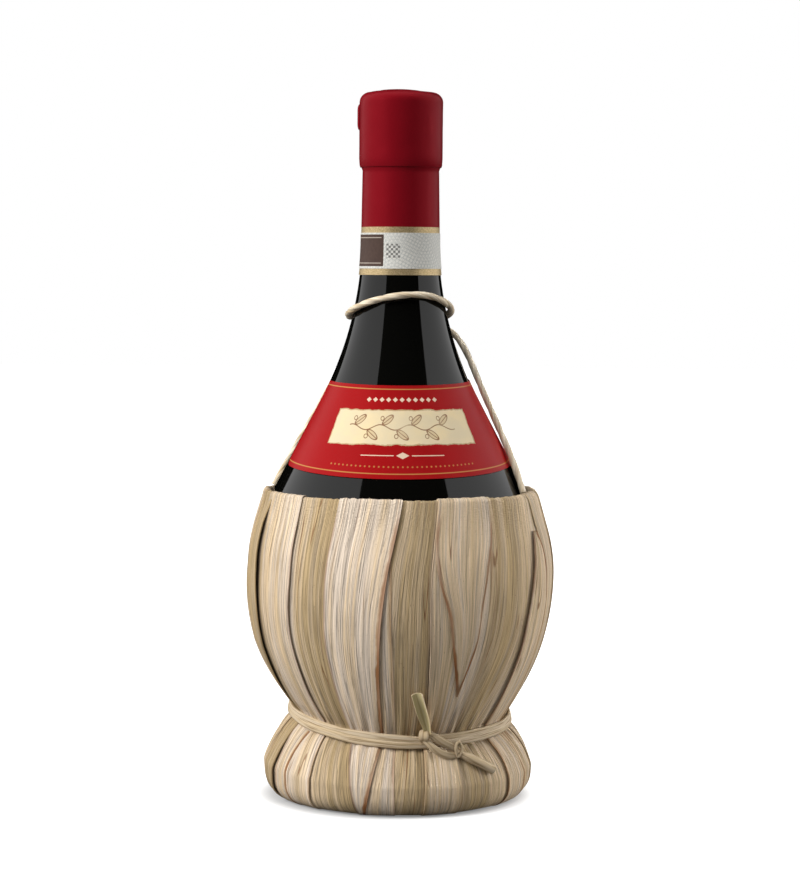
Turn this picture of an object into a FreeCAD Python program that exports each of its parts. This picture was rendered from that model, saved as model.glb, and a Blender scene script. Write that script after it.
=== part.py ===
import FreeCAD
import Part
import Sketcher
import math
import os

# A straw-covered wine flask: a round-bottomed glass flask with its cork and capsule,
# held in a covering of dried leaf strips that a tie gathers over a straw foot ring.
# The floor is z = 0, the axis is Z and the front of the flask faces -Y.

# Driving sizes: millimetres, or degrees where the name says angle.
SIZES = {
    # glass flask
    "belly_radius": 54.8,
    "bottom_height": 18.0,
    "shoulder_radius": 57.9,
    "lower_radius": 75.0,
    "lower_angle": 35.0,
    "cone_angle": 27.6,
    "flare_radius": 128.0,
    "neck_foot_radius": 14.1,
    "neck_radius": 13.7,
    "neck_length": 24.0,
    "ring_radius": 15.0,
    "ring_slope": 3.4,
    "ring_height": 24.6,
    "lip_round": 3.6,
    "glass_wall": 3.0,
    "bore_radius": 9.25,
    "bore_length": 46.0,
    # cork
    "cork_length": 44.0,
    "cork_clearance": 0.05,
    "cork_recess": 0.4,
    "cork_edge": 0.8,
    # capsule and paper seal
    "film_thickness": 0.25,
    "cap_gap": 0.3,
    "top_disc_radius": 12.0,
    "top_disc_crown": 1.9,
    "cap_opening_radius": 10.2,
    "disc_gap": 0.1,
    "tear_gap": 0.4,
    "tab_angle": 16.0,
    "tab_height": 9.2,
    "tab_drop": 4.0,
    "tab_thickness": 0.45,
    "tab_gap": 0.03,
    "tab_place_angle": 183.0,
    "skirt_gap": 0.08,
    "skirt_reach": 14.0,
    "seal_thickness": 0.14,
    "seal_gap": 0.03,
    "seal_above": 1.3,
    "seal_reach": 11.7,
    # shoulder label
    "label_thickness": 0.2,
    "label_gap": 0.2,
    "label_angle": 178.0,
    "label_place_angle": -81.0,
    "label_front_rise": 11.0,
    "label_side_rise": 14.1,
    "label_height": 29.2,
    "label_corner": 4.4,
    # leaf covering
    "leaf_thickness": 0.4,
    "layer_gap": 0.1,
    "leaf_standoff": 0.7,
    "leaf_overlap_angle": 3.5,
    "strips_start_angle": -171.0,
    "rim_rise": 2.4,
    "rim_gap": 0.2,
    "binding_radius": 0.5,
    "flange_length": 5.0,
    "waist_rise": 12.2,
    "waist_gap": 5.4,
    "waist_seat": 4.6,
    "foot_spread": 9.2,
    "foot_round": 8.5,
    "tuck_length": 4.0,
    # straw foot ring
    "tuck_gap": 1.0,
    "foot_face_width": 8.0,
    "ring_top_drop": 4.2,
    "ring_lip": 6.4,
    "seat_gap": 0.25,
    # cords
    "cord_diameter": 2.4,
    "slit_clearance": 0.2,
    "slit_depth": 0.4,
    "tie_diameter": 1.9,
    "tie_gap": 0.3,
    "tie_pitch": 2.35,
}

# Shares of a half turn that the leaf strips take, from the left of the front round to the right.
STRIP_SHARES = [13.5, 22.5, 16.0, 26.5, 15.5, 23.0, 20.0, 13.0, 15.0, 15.0]
HALVES = 2
SIZES.update({f"strip_share_{i + 1}": share for i, share in enumerate(STRIP_SHARES)})
STRIP_COUNT = HALVES * len(STRIP_SHARES)

# Lines that follow from the sizes: centres of arcs, tangent points and offsets.
# The flask's wall is one chain of tangent arcs: bottom, lower belly, shoulder, cone, flare, neck.
LINES = {
    "cone_length": "(Sizes.belly_radius - Sizes.neck_foot_radius"
    " - (Sizes.shoulder_radius + Sizes.flare_radius) * (1 - cos(Sizes.cone_angle)))"
    " / sin(Sizes.cone_angle)",
    "shoulder_centre": "Sizes.belly_radius - Sizes.shoulder_radius",
    "lower_centre": "Sizes.belly_radius - Sizes.lower_radius",
    "bottom_radius": "(lower_centre + Sizes.lower_radius * cos(Sizes.lower_angle))"
    " / cos(Sizes.lower_angle)",
    "bottom_centre": "Sizes.bottom_height + bottom_radius",
    "belly_height": "bottom_centre + (Sizes.lower_radius - bottom_radius) * sin(Sizes.lower_angle)",
    "cone_foot_r": "shoulder_centre + Sizes.shoulder_radius * cos(Sizes.cone_angle)",
    "cone_foot_z": "belly_height + Sizes.shoulder_radius * sin(Sizes.cone_angle)",
    "neck_foot": "cone_foot_z + cone_length * cos(Sizes.cone_angle)"
    " + Sizes.flare_radius * sin(Sizes.cone_angle)",
    "flare_centre": "Sizes.neck_foot_radius + Sizes.flare_radius",
    "neck_top": "neck_foot + Sizes.neck_length",
    "ring_foot": "neck_top + Sizes.ring_slope",
    "mouth": "ring_foot + Sizes.ring_height",
    "lip_centre_r": "Sizes.ring_radius - Sizes.lip_round",
    # capsule
    "cap_corner": "mouth - Sizes.lip_round + Sizes.film_thickness + Sizes.disc_gap",
    "cap_inner": "Sizes.ring_radius + Sizes.cap_gap",
    "cap_inner_round": "Sizes.lip_round + Sizes.cap_gap",
    "cap_outer": "cap_inner + Sizes.film_thickness",
    "cap_outer_round": "cap_inner_round + Sizes.film_thickness",
    "disc_under": "mouth + Sizes.cap_gap",
    "disc_top": "disc_under + Sizes.film_thickness",
    "dome_radius": "Sizes.cap_opening_radius - Sizes.disc_gap",
    "dome_curve": "(dome_radius * dome_radius + Sizes.top_disc_crown * Sizes.top_disc_crown)"
    " / (2 * Sizes.top_disc_crown)",
    "skirt_angle": "asin(Sizes.skirt_reach / Sizes.flare_radius)",
    "seal_angle": "asin(Sizes.seal_reach / Sizes.flare_radius)",
    # label, on the cone between the rim and the flare
    "label_side": "cone_foot_z + Sizes.label_side_rise",
    "label_top": "label_side + Sizes.label_height",
    "label_end_r": "cone_foot_r - Sizes.label_side_rise * tan(Sizes.cone_angle)",
    "label_end": "label_end_r * cos(Sizes.label_angle / 2)",
    # leaf covering: the outer face of the outer layer is the reference
    "leaf_stack": "Sizes.leaf_standoff + 2 * Sizes.leaf_thickness + Sizes.layer_gap",
    "leaf_belly": "Sizes.belly_radius + leaf_stack",
    "leaf_shoulder": "Sizes.shoulder_radius + leaf_stack",
    "fold_radius": "Sizes.binding_radius + 2 * Sizes.leaf_thickness + 2 * Sizes.layer_gap",
    "binding_lift": "Sizes.rim_gap + fold_radius",
    "binding_r": "cone_foot_r - Sizes.rim_rise * sin(Sizes.cone_angle)"
    " + binding_lift * cos(Sizes.cone_angle)",
    "binding_z": "cone_foot_z + Sizes.rim_rise * cos(Sizes.cone_angle)"
    " + binding_lift * sin(Sizes.cone_angle)",
    "rim_run_r": "binding_r - shoulder_centre",
    "rim_run_z": "binding_z - belly_height",
    "wall_angle": "atan2(rim_run_z; rim_run_r)"
    " - acos((leaf_shoulder - fold_radius) / hypot(rim_run_r; rim_run_z))",
    "waist_height": "Sizes.bottom_height + Sizes.waist_rise",
    "flask_at_waist": "sqrt(2 * bottom_radius * Sizes.waist_rise - Sizes.waist_rise^2)",
    "waist_radius": "flask_at_waist + leaf_stack + Sizes.waist_gap",
    "seat_high": "waist_height + Sizes.waist_seat / 2",
    "seat_low": "waist_height - Sizes.waist_seat / 2",
    "belly_step": "leaf_belly - waist_radius",
    "belly_drop": "belly_height - seat_high",
    "leaf_lower": "(belly_drop * belly_drop + belly_step * belly_step) / (2 * belly_step)",
    "foot_radius": "waist_radius + Sizes.foot_spread",
    "foot_rise": "seat_low - Sizes.foot_round",
    "foot_flare": "(foot_rise * foot_rise + Sizes.foot_spread * Sizes.foot_spread)"
    " / (2 * Sizes.foot_spread)",
    "foot_centre": "foot_radius - Sizes.foot_round",
    "tuck_radius": "foot_centre - Sizes.tuck_length",
    "flare_axis": "foot_radius - foot_flare",
    # straw foot ring, inside both layers of leaf
    "ring_inset": "2 * Sizes.leaf_thickness + 2 * Sizes.layer_gap",
    "ring_top": "waist_height - Sizes.ring_top_drop",
    "ring_top_r": "flare_axis + sqrt((foot_flare - ring_inset)^2 - (ring_top - Sizes.foot_round)^2)",
    "foot_face": "tuck_radius - Sizes.tuck_gap",
    "ring_bore": "foot_face - Sizes.foot_face_width",
    "seat_radius": "ring_top_r - Sizes.ring_lip",
    "seat_sphere": "bottom_radius + Sizes.seat_gap",
    "seat_outer_z": "bottom_centre - sqrt(seat_sphere^2 - seat_radius^2)",
    "seat_inner_z": "bottom_centre - sqrt(seat_sphere^2 - ring_bore^2)",
    # leaf strips
    "share_sum": " + ".join(f"Sizes.strip_share_{i + 1}" for i in range(len(STRIP_SHARES))),
}

# The neck cord's route, in order: left rim, behind the neck, once round it, right rim.
NECK_CORD_POINTS = [
    (-46.5, 12.5, 113.4),
    (-39.6, 14.6, 126.0),
    (-30.4, 17.4, 142.0),
    (-22.0, 19.0, 157.0),
    (-14.2, 20.6, 167.6),
    (-5.4, 21.6, 172.6),
    (6.6, 20.0, 174.0),
    (15.4, 13.6, 175.6),
    (19.6, 2.6, 178.2),
    (16.9, -8.8, 181.7),
    (9.3, -16.0, 184.5),
    (-1.2, -18.5, 184.9),
    (-11.0, -15.5, 183.3),
    (-18.0, -7.8, 180.2),
    (-19.4, 3.2, 177.4),
    (-16.6, 14.2, 176.2),
    (-7.8, 23.6, 175.6),
    (5.2, 25.2, 173.6),
    (18.4, 18.2, 170.6),
    (25.2, 11.4, 164.6),
    (32.2, 4.4, 149.4),
    (37.8, -3.7, 134.6),
    (42.5, -11.0, 122.6),
    (45.2, -16.5, 113.4),
]

# The waist tie's two loose ends, each point as an angle round the axis, a distance out from
# the waist and a rise above it; the turns between them come from the waist's own size.
TIE_UPPER_END = [
    (-82.5, 9.2, 13.6),
    (-79.0, 7.5, 9.0),
    (-73.5, 6.1, 4.4),
    (-63.9, 4.5, 1.8),
]
TIE_LOWER_END = [
    (-93.0, 3.8, -1.4),
    (-75.7, 6.8, -3.2),
    (-62.5, 8.9, -7.2),
    (-52.5, 10.3, -11.3),
    (-44.0, 11.1, -14.8),
]
TIE_POINTS_PER_TURN = 16
TIE_POINTS = 30
TIE_STEP_POINTS = 2
TIE_START_ANGLE = -48.0

V = FreeCAD.Vector
doc = FreeCAD.newDocument("covered_flask")


def make_sheet(name, cells, formula):
    """A spreadsheet with one named cell a row; formula cells start with an equals sign."""
    sheet = doc.addObject("Spreadsheet::Sheet", name)
    for row, (alias, value) in enumerate(cells.items(), start=1):
        sheet.set(f"A{row}", alias)
        sheet.set(f"B{row}", f"={value}" if formula else str(value))
        sheet.setAlias(f"B{row}", alias)
    doc.recompute()
    return sheet


sizes = make_sheet("Sizes", SIZES, False)
lines = make_sheet("Lines", LINES, True)


def value_of(expression):
    """The number that an expression of sheet cells gives now."""
    found = sizes.evalExpression(expression)
    return float(getattr(found, "Value", found))


# A corner nearer to an axis of its sketch than this lies on it.
ON_AXIS = 1e-9


def constrain_point(sketch, geometry, end, place):
    """Hold one corner of an outline at the two expressions of its place."""
    for kind, axis, expression in (("DistanceX", -2, place[0]), ("DistanceY", -1, place[1])):
        distance = value_of(expression)
        if abs(distance) < ON_AXIS:
            sketch.addConstraint(Sketcher.Constraint("PointOnObject", geometry, end, axis))
            continue
        index = sketch.addConstraint(Sketcher.Constraint(kind, -1, 1, geometry, end, distance))
        sketch.setExpression(f"Constraints[{index}]", expression)


def draw_outline(sketch, outline):
    """Draw a closed outline of corners (r, z, arc); arc is None for a line to the next corner,
    or the centre and radius (r, z, radius) of an arc of less than a half circle."""
    corners = [V(value_of(r), value_of(z), 0) for r, z, arc in outline]
    ends = []
    for i, (r, z, arc) in enumerate(outline):
        start, stop = corners[i], corners[(i + 1) % len(outline)]
        if arc is None:
            geometry = sketch.addGeometry(Part.LineSegment(start, stop))
            ends.append((geometry, 1, 2))
            continue
        centre = V(value_of(arc[0]), value_of(arc[1]), 0)
        radius = value_of(arc[2])
        angle_from = math.atan2(start.y - centre.y, start.x - centre.x)
        angle_to = math.atan2(stop.y - centre.y, stop.x - centre.x)
        turn = (angle_to - angle_from + math.pi) % (2 * math.pi) - math.pi
        circle = Part.Circle(centre, V(0, 0, 1), radius)
        if turn > 0:
            geometry = sketch.addGeometry(Part.ArcOfCircle(circle, angle_from, angle_from + turn))
            ends.append((geometry, 1, 2))
        else:
            geometry = sketch.addGeometry(Part.ArcOfCircle(circle, angle_to, angle_to - turn))
            ends.append((geometry, 2, 1))
    for i, (geometry, first, last) in enumerate(ends):
        following, next_first, _ = ends[(i + 1) % len(ends)]
        joint = Sketcher.Constraint("Coincident", geometry, last, following, next_first)
        sketch.addConstraint(joint)
    for (geometry, first, last), (r, z, arc) in zip(ends, outline):
        constrain_point(sketch, geometry, first, (r, z))
        if arc is not None:
            radius = value_of(arc[2])
            index = sketch.addConstraint(Sketcher.Constraint("Radius", geometry, radius))
            sketch.setExpression(f"Constraints[{index}]", arc[2])


def origin_plane(body, role):
    """One of a body's own origin planes, by its role."""
    return next(item for item in body.Origin.OriginFeatures if item.Role == role)


def body_sketch(body, name):
    """A sketch on a body's own XZ plane, where x is the radius and y the height."""
    sketch = body.newObject("Sketcher::SketchObject", name)
    sketch.AttachmentSupport = (origin_plane(body, "XZ_Plane"), [""])
    sketch.MapMode = "FlatFace"
    return sketch


def revolved_body(label, outline, turn=None, place=None):
    """A body turned about Z from its outline, all round or through the angle that turn names."""
    body = doc.addObject("PartDesign::Body", label)
    body.Label = label
    sketch = body_sketch(body, label + "_outline")
    draw_outline(sketch, outline)
    revolution = body.newObject("PartDesign::Revolution", label + "_turn")
    revolution.Profile = sketch
    revolution.ReferenceAxis = (sketch, ["V_Axis"])
    if turn:
        revolution.Midplane = True
        revolution.setExpression("Angle", turn)
        turn_about_z(body, place)
    return body


def turn_about_z(item, expression):
    """Turn an object about Z by an expression in degrees."""
    item.Placement = FreeCAD.Placement(V(0, 0, 0), FreeCAD.Rotation(V(0, 0, 1), 1.0))
    item.setExpression("Placement.Rotation.Angle", f"({expression}) * 1 deg")


# Chains of corners that several pieces share.


def on_arc(centre_r, centre_z, radius, angle):
    """The corner on an arc at an angle from the outward radius."""
    return f"{centre_r} + ({radius}) * cos({angle})", f"{centre_z} + ({radius}) * sin({angle})"


def on_flare(offset, angle):
    """A corner at an offset outside the neck's flare, at an angle below its top."""
    radius = f"(Sizes.flare_radius - ({offset}))"
    return f"Lines.flare_centre - {radius} * cos({angle})", f"Lines.neck_foot - {radius} * sin({angle})"


def flare_arc(offset):
    """The flare's arc at an offset outside the glass."""
    return "Lines.flare_centre", "Lines.neck_foot", f"Sizes.flare_radius - ({offset})"


def flask_wall(inset):
    """The flask's wall from the bottom of its axis to the foot of its neck, at an inset."""
    bottom = ("0", "Lines.bottom_centre", f"Lines.bottom_radius - {inset}")
    lower = ("Lines.lower_centre", "Lines.belly_height", f"Sizes.lower_radius - {inset}")
    shoulder = ("Lines.shoulder_centre", "Lines.belly_height", f"Sizes.shoulder_radius - {inset}")
    return [
        ("0", f"Lines.bottom_centre - (Lines.bottom_radius - {inset})", bottom),
        (*on_arc(*bottom, "-Sizes.lower_angle"), lower),
        (f"Sizes.belly_radius - {inset}", "Lines.belly_height", shoulder),
        (*on_arc(*shoulder, "Sizes.cone_angle"), None),
        (*on_flare(f"0 - {inset}", "Sizes.cone_angle"), flare_arc(f"0 - {inset}")),
        (f"Sizes.neck_foot_radius - {inset}", "Lines.neck_foot", None),
    ]


def reversed_chain(chain):
    """The same chain walked from its last corner to its first."""
    arcs = [arc for r, z, arc in chain]
    backward = [(r, z) for r, z, arc in reversed(chain)]
    return [(r, z, arc) for (r, z), arc in zip(backward, [*reversed(arcs[:-1]), None])]


def leaf_face(inset):
    """One face of the leaf from its folded-in end over the rim and the belly to its tucked end."""
    fold = ("Lines.binding_r", "Lines.binding_z", f"Lines.fold_radius - {inset}")
    shoulder = ("Lines.shoulder_centre", "Lines.belly_height", f"Lines.leaf_shoulder - {inset}")
    lower = ("Lines.leaf_belly - Lines.leaf_lower", "Lines.belly_height", f"Lines.leaf_lower - {inset}")
    flare = ("Lines.flare_axis", "Sizes.foot_round", f"Lines.foot_flare - {inset}")
    corner = ("Lines.foot_centre", "Sizes.foot_round", f"Sizes.foot_round - {inset}")
    flange_r, flange_z = on_arc(*fold, "180 + Sizes.cone_angle")
    waist = f"Lines.waist_radius - {inset}"
    belly_run = f"sqrt(2 * (Lines.leaf_lower - {inset}) * Lines.belly_step - Lines.belly_step^2)"
    foot_run = f"sqrt(2 * (Lines.foot_flare - {inset}) * Sizes.foot_spread - Sizes.foot_spread^2)"
    end_r = f"{flange_r} + Sizes.flange_length * sin(Sizes.cone_angle)"
    end_z = f"{flange_z} - Sizes.flange_length * cos(Sizes.cone_angle)"
    return [
        (end_r, end_z, None),
        (flange_r, flange_z, fold),
        (*on_arc(*fold, "90 + Sizes.cone_angle"), fold),
        (*on_arc(*fold, "Lines.wall_angle"), None),
        (*on_arc(*shoulder, "Lines.wall_angle"), shoulder),
        (f"Lines.leaf_belly - {inset}", "Lines.belly_height", lower),
        (waist, f"Lines.belly_height - {belly_run}", None),
        (waist, f"Sizes.foot_round + {foot_run}", flare),
        (f"Lines.foot_radius - {inset}", "Sizes.foot_round", corner),
        ("Lines.foot_centre", inset, None),
        ("Lines.tuck_radius", inset, None),
    ]


# Glass flask, with its mouth open.

flask_outside = flask_wall("0") + [
    ("Sizes.neck_radius", "Lines.neck_top", None),
    ("Sizes.ring_radius", "Lines.ring_foot", None),
    (
        "Sizes.ring_radius",
        "Lines.mouth - Sizes.lip_round",
        ("Lines.lip_centre_r", "Lines.mouth - Sizes.lip_round", "Sizes.lip_round"),
    ),
    ("Lines.lip_centre_r", "Lines.mouth", None),
    ("Sizes.bore_radius", "Lines.mouth", None),
    ("Sizes.bore_radius", "Lines.mouth - Sizes.bore_length", None),
]
revolved_body("glass_flask", flask_outside + reversed_chain(flask_wall("Sizes.glass_wall")))

# Cork, pushed into the bore, with both edges bevelled.

cork_r = "Sizes.bore_radius - Sizes.cork_clearance"
cork_top = "Lines.mouth - Sizes.cork_recess"
cork_foot = f"{cork_top} - Sizes.cork_length"
revolved_body(
    "cork_stopper",
    [
        ("0", cork_foot, None),
        (f"{cork_r} - Sizes.cork_edge", cork_foot, None),
        (cork_r, f"{cork_foot} + Sizes.cork_edge", None),
        (cork_r, f"{cork_top} - Sizes.cork_edge", None),
        (f"{cork_r} - Sizes.cork_edge", cork_top, None),
        ("0", cork_top, None),
    ],
)

# Capsule: a sleeve over the mouth ring, a domed disc under its turned-in edge, a tear tab.

cap_round = ("Lines.lip_centre_r", "Lines.cap_corner", "Lines.cap_inner_round")
cap_round_outer = ("Lines.lip_centre_r", "Lines.cap_corner", "Lines.cap_outer_round")
revolved_body(
    "capsule_cap",
    [
        ("Lines.cap_inner", "Lines.ring_foot", None),
        ("Lines.cap_outer", "Lines.ring_foot", None),
        ("Lines.cap_outer", "Lines.cap_corner", cap_round_outer),
        ("Lines.lip_centre_r", "Lines.cap_corner + Lines.cap_outer_round", None),
        ("Sizes.cap_opening_radius", "Lines.cap_corner + Lines.cap_outer_round", None),
        ("Sizes.cap_opening_radius", "Lines.cap_corner + Lines.cap_inner_round", None),
        ("Lines.lip_centre_r", "Lines.cap_corner + Lines.cap_inner_round", cap_round),
        ("Lines.cap_inner", "Lines.cap_corner", None),
    ],
)

dome_under = ("0", "Lines.disc_under + Sizes.top_disc_crown - Lines.dome_curve", "Lines.dome_curve")
dome_over = ("0", "Lines.disc_top + Sizes.top_disc_crown - Lines.dome_curve", "Lines.dome_curve")
revolved_body(
    "capsule_top_disc",
    [
        ("Lines.dome_radius", "Lines.disc_under", None),
        ("Sizes.top_disc_radius", "Lines.disc_under", None),
        ("Sizes.top_disc_radius", "Lines.disc_top", None),
        ("Lines.dome_radius", "Lines.disc_top", dome_over),
        ("0", "Lines.disc_top + Sizes.top_disc_crown", None),
        ("0", "Lines.disc_under + Sizes.top_disc_crown", dome_under),
    ],
)

tab_inner = "Lines.cap_outer + Sizes.tab_gap"
tab_top = "Lines.mouth - Sizes.tab_drop"
revolved_body(
    "capsule_tear_tab",
    [
        (tab_inner, f"{tab_top} - Sizes.tab_height", None),
        (f"{tab_inner} + Sizes.tab_thickness", f"{tab_top} - Sizes.tab_height", None),
        (f"{tab_inner} + Sizes.tab_thickness", tab_top, None),
        (tab_inner, tab_top, None),
    ],
    turn="Sizes.tab_angle",
    place="Sizes.tab_place_angle",
)


def skirt_face(offset):
    """One face of the capsule's skirt from its torn edge down to its rolled end."""
    return [
        (f"Sizes.ring_radius + {offset}", "Lines.ring_foot - Sizes.tear_gap", None),
        (f"Sizes.neck_radius + {offset}", "Lines.neck_top - Sizes.tear_gap", None),
        (f"Sizes.neck_foot_radius + {offset}", "Lines.neck_foot", flare_arc(offset)),
        (*on_flare(offset, "Lines.skirt_angle"), None),
    ]


skirt_outside = "(Sizes.skirt_gap + Sizes.film_thickness)"
revolved_body("capsule_skirt", skirt_face(skirt_outside) + reversed_chain(skirt_face("Sizes.skirt_gap")))


def seal_face(offset):
    """One face of the paper seal round the foot of the capsule."""
    return [
        (f"Sizes.neck_foot_radius + {offset}", "Lines.neck_foot + Sizes.seal_above", None),
        (f"Sizes.neck_foot_radius + {offset}", "Lines.neck_foot", flare_arc(offset)),
        (*on_flare(offset, "Lines.seal_angle"), None),
    ]


seal_inside = f"({skirt_outside} + Sizes.seal_gap)"
seal_outside = f"({seal_inside} + Sizes.seal_thickness)"
revolved_body("seal_strip", seal_face(seal_outside) + reversed_chain(seal_face(seal_inside)))


# Shoulder label: paper on the cone, with its lower edge cut on a slope and its corners rounded.


def label_face(offset):
    """One face of the label's band, over the whole flare and cone of the flask."""
    shoulder_radius = f"Sizes.shoulder_radius + {offset}"
    shoulder = ("Lines.shoulder_centre", "Lines.belly_height", shoulder_radius)
    return [
        (f"Sizes.neck_foot_radius + {offset}", "Lines.neck_foot", flare_arc(offset)),
        (*on_flare(offset, "Sizes.cone_angle"), None),
        (*on_arc(*shoulder, "Sizes.cone_angle"), None),
    ]


def make_label():
    """The label's band, with everything below its lower edge and above its top edge cut away."""
    label_end = "Lines.label_end"
    outside = "(Sizes.label_gap + Sizes.label_thickness)"
    outline = label_face(outside) + reversed_chain(label_face("Sizes.label_gap"))
    body = revolved_body(
        "shoulder_label", outline, turn="Sizes.label_angle", place="Sizes.label_place_angle"
    )
    reach = "Lines.leaf_belly"
    slope = "((Sizes.label_side_rise - Sizes.label_front_rise) / Lines.cone_foot_r)"
    round_r = f"({label_end} + Sizes.label_corner)"
    round_z = f"Lines.label_side - {round_r} * {slope}"
    corner = (round_r, f"{round_z} + Sizes.label_corner", "Sizes.label_corner")
    cut = body_sketch(body, "label_edges")
    draw_outline(
        cut,
        [
            (f"-{reach}", "Lines.label_top", None),
            (reach, "Lines.label_top", None),
            (reach, "Lines.neck_top", None),
            (f"-{reach}", "Lines.neck_top", None),
        ],
    )
    draw_outline(
        cut,
        [
            (reach, f"Lines.label_side - {reach} * {slope}", None),
            (round_r, round_z, corner),
            (label_end, corner[1], None),
            (f"-{reach}", corner[1], None),
            (f"-{reach}", "Lines.belly_height", None),
            (reach, "Lines.belly_height", None),
        ],
    )
    pocket = body.newObject("PartDesign::Pocket", "label_edges_cut")
    pocket.Profile = cut
    pocket.Midplane = True
    pocket.setExpression("Length", f"2 * {reach}")
    return body


make_label()

# Rim binding: the cord that the leaves are folded over.

binding = doc.addObject("Part::Torus", "rim_binding_cord")
binding.Label = "rim_binding_cord"
binding.setExpression("Radius1", "Lines.binding_r * 1 mm")
binding.setExpression("Radius2", "Sizes.binding_radius * 1 mm")
binding.setExpression("Placement.Base.z", "Lines.binding_z * 1 mm")

# Straw foot ring: carries the round bottom on a ball-shaped seat and stands on a flat face.

ring_corner = ("Lines.foot_centre", "Sizes.foot_round", "Sizes.foot_round - Lines.ring_inset")
ring_flare = ("Lines.flare_axis", "Sizes.foot_round", "Lines.foot_flare - Lines.ring_inset")
ring_seat = ("0", "Lines.bottom_centre", "Lines.seat_sphere")
revolved_body(
    "straw_foot_ring",
    [
        ("Lines.ring_bore", "0", None),
        ("Lines.foot_face", "0", None),
        ("Lines.foot_face", "Lines.ring_inset", None),
        ("Lines.foot_centre", "Lines.ring_inset", ring_corner),
        ("Lines.foot_radius - Lines.ring_inset", "Sizes.foot_round", ring_flare),
        ("Lines.ring_top_r", "Lines.ring_top", None),
        ("Lines.seat_radius", "Lines.seat_outer_z", ring_seat),
        ("Lines.ring_bore", "Lines.seat_inner_z", None),
    ],
)


# Cords: a round tube along straight runs joined by arcs as large as the runs allow.
# An arc takes this share of its shorter run. The gap of a tube to itself is measured on samples
# of its path, this many to a diameter, between samples that are at least this many apart.

ARC_SHARE = 0.45
SAMPLE_COUNT = 3
APART_COUNT = 9


def tube_along(points, diameter):
    """The tube, the radii of its arcs and its path."""
    edges, radii = [], []
    start = points[0]
    for before, corner, after in zip(points, points[1:], points[2:]):
        arriving = (corner - before).normalize()
        leaving = (after - corner).normalize()
        turn = arriving.getAngle(leaving)
        tangent = ARC_SHARE * min((corner - before).Length, (after - corner).Length)
        radius = tangent / math.tan(turn / 2)
        bisector = (leaving - arriving).normalize()
        middle = corner + bisector * (radius / math.cos(turn / 2) - radius)
        arc_start = corner - arriving * tangent
        arc_stop = corner + leaving * tangent
        edges.append(Part.LineSegment(start, arc_start).toShape())
        edges.append(Part.Arc(arc_start, middle, arc_stop).toShape())
        radii.append(radius)
        start = arc_stop
    edges.append(Part.LineSegment(start, points[-1]).toShape())
    path = Part.Wire(edges)
    section = Part.Wire(Part.makeCircle(diameter / 2, points[0], points[1] - points[0]))
    return path.makePipeShell([section], True, False), radii, path


def least_gap(path, diameter):
    """The least clear distance from the tube to itself, measured on points of its path."""
    points = path.discretize(Distance=diameter / SAMPLE_COUNT)
    pairs = [(i, j) for i in range(len(points)) for j in range(i + APART_COUNT, len(points))]
    return min((points[i] - points[j]).Length for i, j in pairs) - diameter


def make_cord(label, points, diameter):
    """A cord's tube as a piece, with its length, volume, radii and least gap printed."""
    tube, radii, path = tube_along(points, diameter)
    cord = doc.addObject("Part::Feature", label)
    cord.Label = label
    cord.Shape = tube
    expected = math.pi * diameter**2 / 4 * path.Length
    print(
        f"{label}: length {path.Length:.1f} mm, volume {tube.Volume:.1f} of {expected:.1f} mm3,"
        f" least gap to itself {least_gap(path, diameter):.2f} mm"
    )
    print("  radii", " ".join(f"{radius:.1f}" for radius in radii))
    return cord


neck_points = [V(*point) for point in NECK_CORD_POINTS]
make_cord("neck_cord", neck_points, sizes.cord_diameter)


def tie_points():
    """The tie's route: its upper end, nearly two turns round the waist, its lower end.
    Each turn lies level, and the tie steps down a turn at the knot."""
    waist_radius = value_of("Lines.waist_radius")
    waist_height = value_of("Lines.waist_height")
    step = 360 / TIE_POINTS_PER_TURN
    reach = sizes.tie_gap + sizes.tie_diameter / 2
    around = (waist_radius + reach) / math.cos(math.radians(step / 2)) - waist_radius
    turns = []
    for i in range(TIE_POINTS):
        past_turn = i - TIE_POINTS_PER_TURN + TIE_STEP_POINTS
        stepped = min(max(past_turn / TIE_STEP_POINTS, 0), 1)
        rise = sizes.tie_pitch / 2 - sizes.tie_pitch * stepped
        turns.append((TIE_START_ANGLE + i * step, around, rise))
    points = []
    for angle, out, rise in TIE_UPPER_END + turns + TIE_LOWER_END:
        radius = waist_radius + out
        turned = math.radians(angle)
        points.append(V(radius * math.cos(turned), radius * math.sin(turned), waist_height + rise))
    return points


make_cord("waist_tie", tie_points(), sizes.tie_diameter)

# Leaf strips in two layers, each layer's section turned through the strip's own angle.


def layer_outline(name, inset):
    """The section of one layer of leaf, as a sketch in the XZ plane."""
    sketch = doc.addObject("Sketcher::SketchObject", name)
    sketch.Placement = FreeCAD.Placement(V(0, 0, 0), FreeCAD.Rotation(V(1, 0, 0), 90))
    outside = leaf_face(inset)
    inside = leaf_face(f"({inset} + Sizes.leaf_thickness)")
    draw_outline(sketch, outside + reversed_chain(inside))
    return sketch


outer_layer = layer_outline("outer_leaf_section", "0")
inner_layer = layer_outline("inner_leaf_section", "(Sizes.leaf_thickness + Sizes.layer_gap)")


def slit_tool(name, end, before):
    """A round cutter along a cord's last run, for the slit it passes through at the rim."""
    run = (before - end).normalize()
    tool = doc.addObject("Part::Cylinder", name)
    tool.setExpression("Radius", "(Sizes.cord_diameter / 2 + Sizes.slit_clearance) * 1 mm")
    tool.setExpression("Height", "Sizes.flange_length * 1 mm")
    tool.Placement = FreeCAD.Placement(end - run * sizes.slit_depth, FreeCAD.Rotation(V(0, 0, 1), run))
    return tool


slits = [
    slit_tool("left_slit", neck_points[0], neck_points[1]),
    slit_tool("right_slit", neck_points[-1], neck_points[-2]),
]
# A strip whose edge is nearer to a slit than this, round the axis, is cut by it too.
SLIT_MARGIN_ANGLE = 4.0


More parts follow.
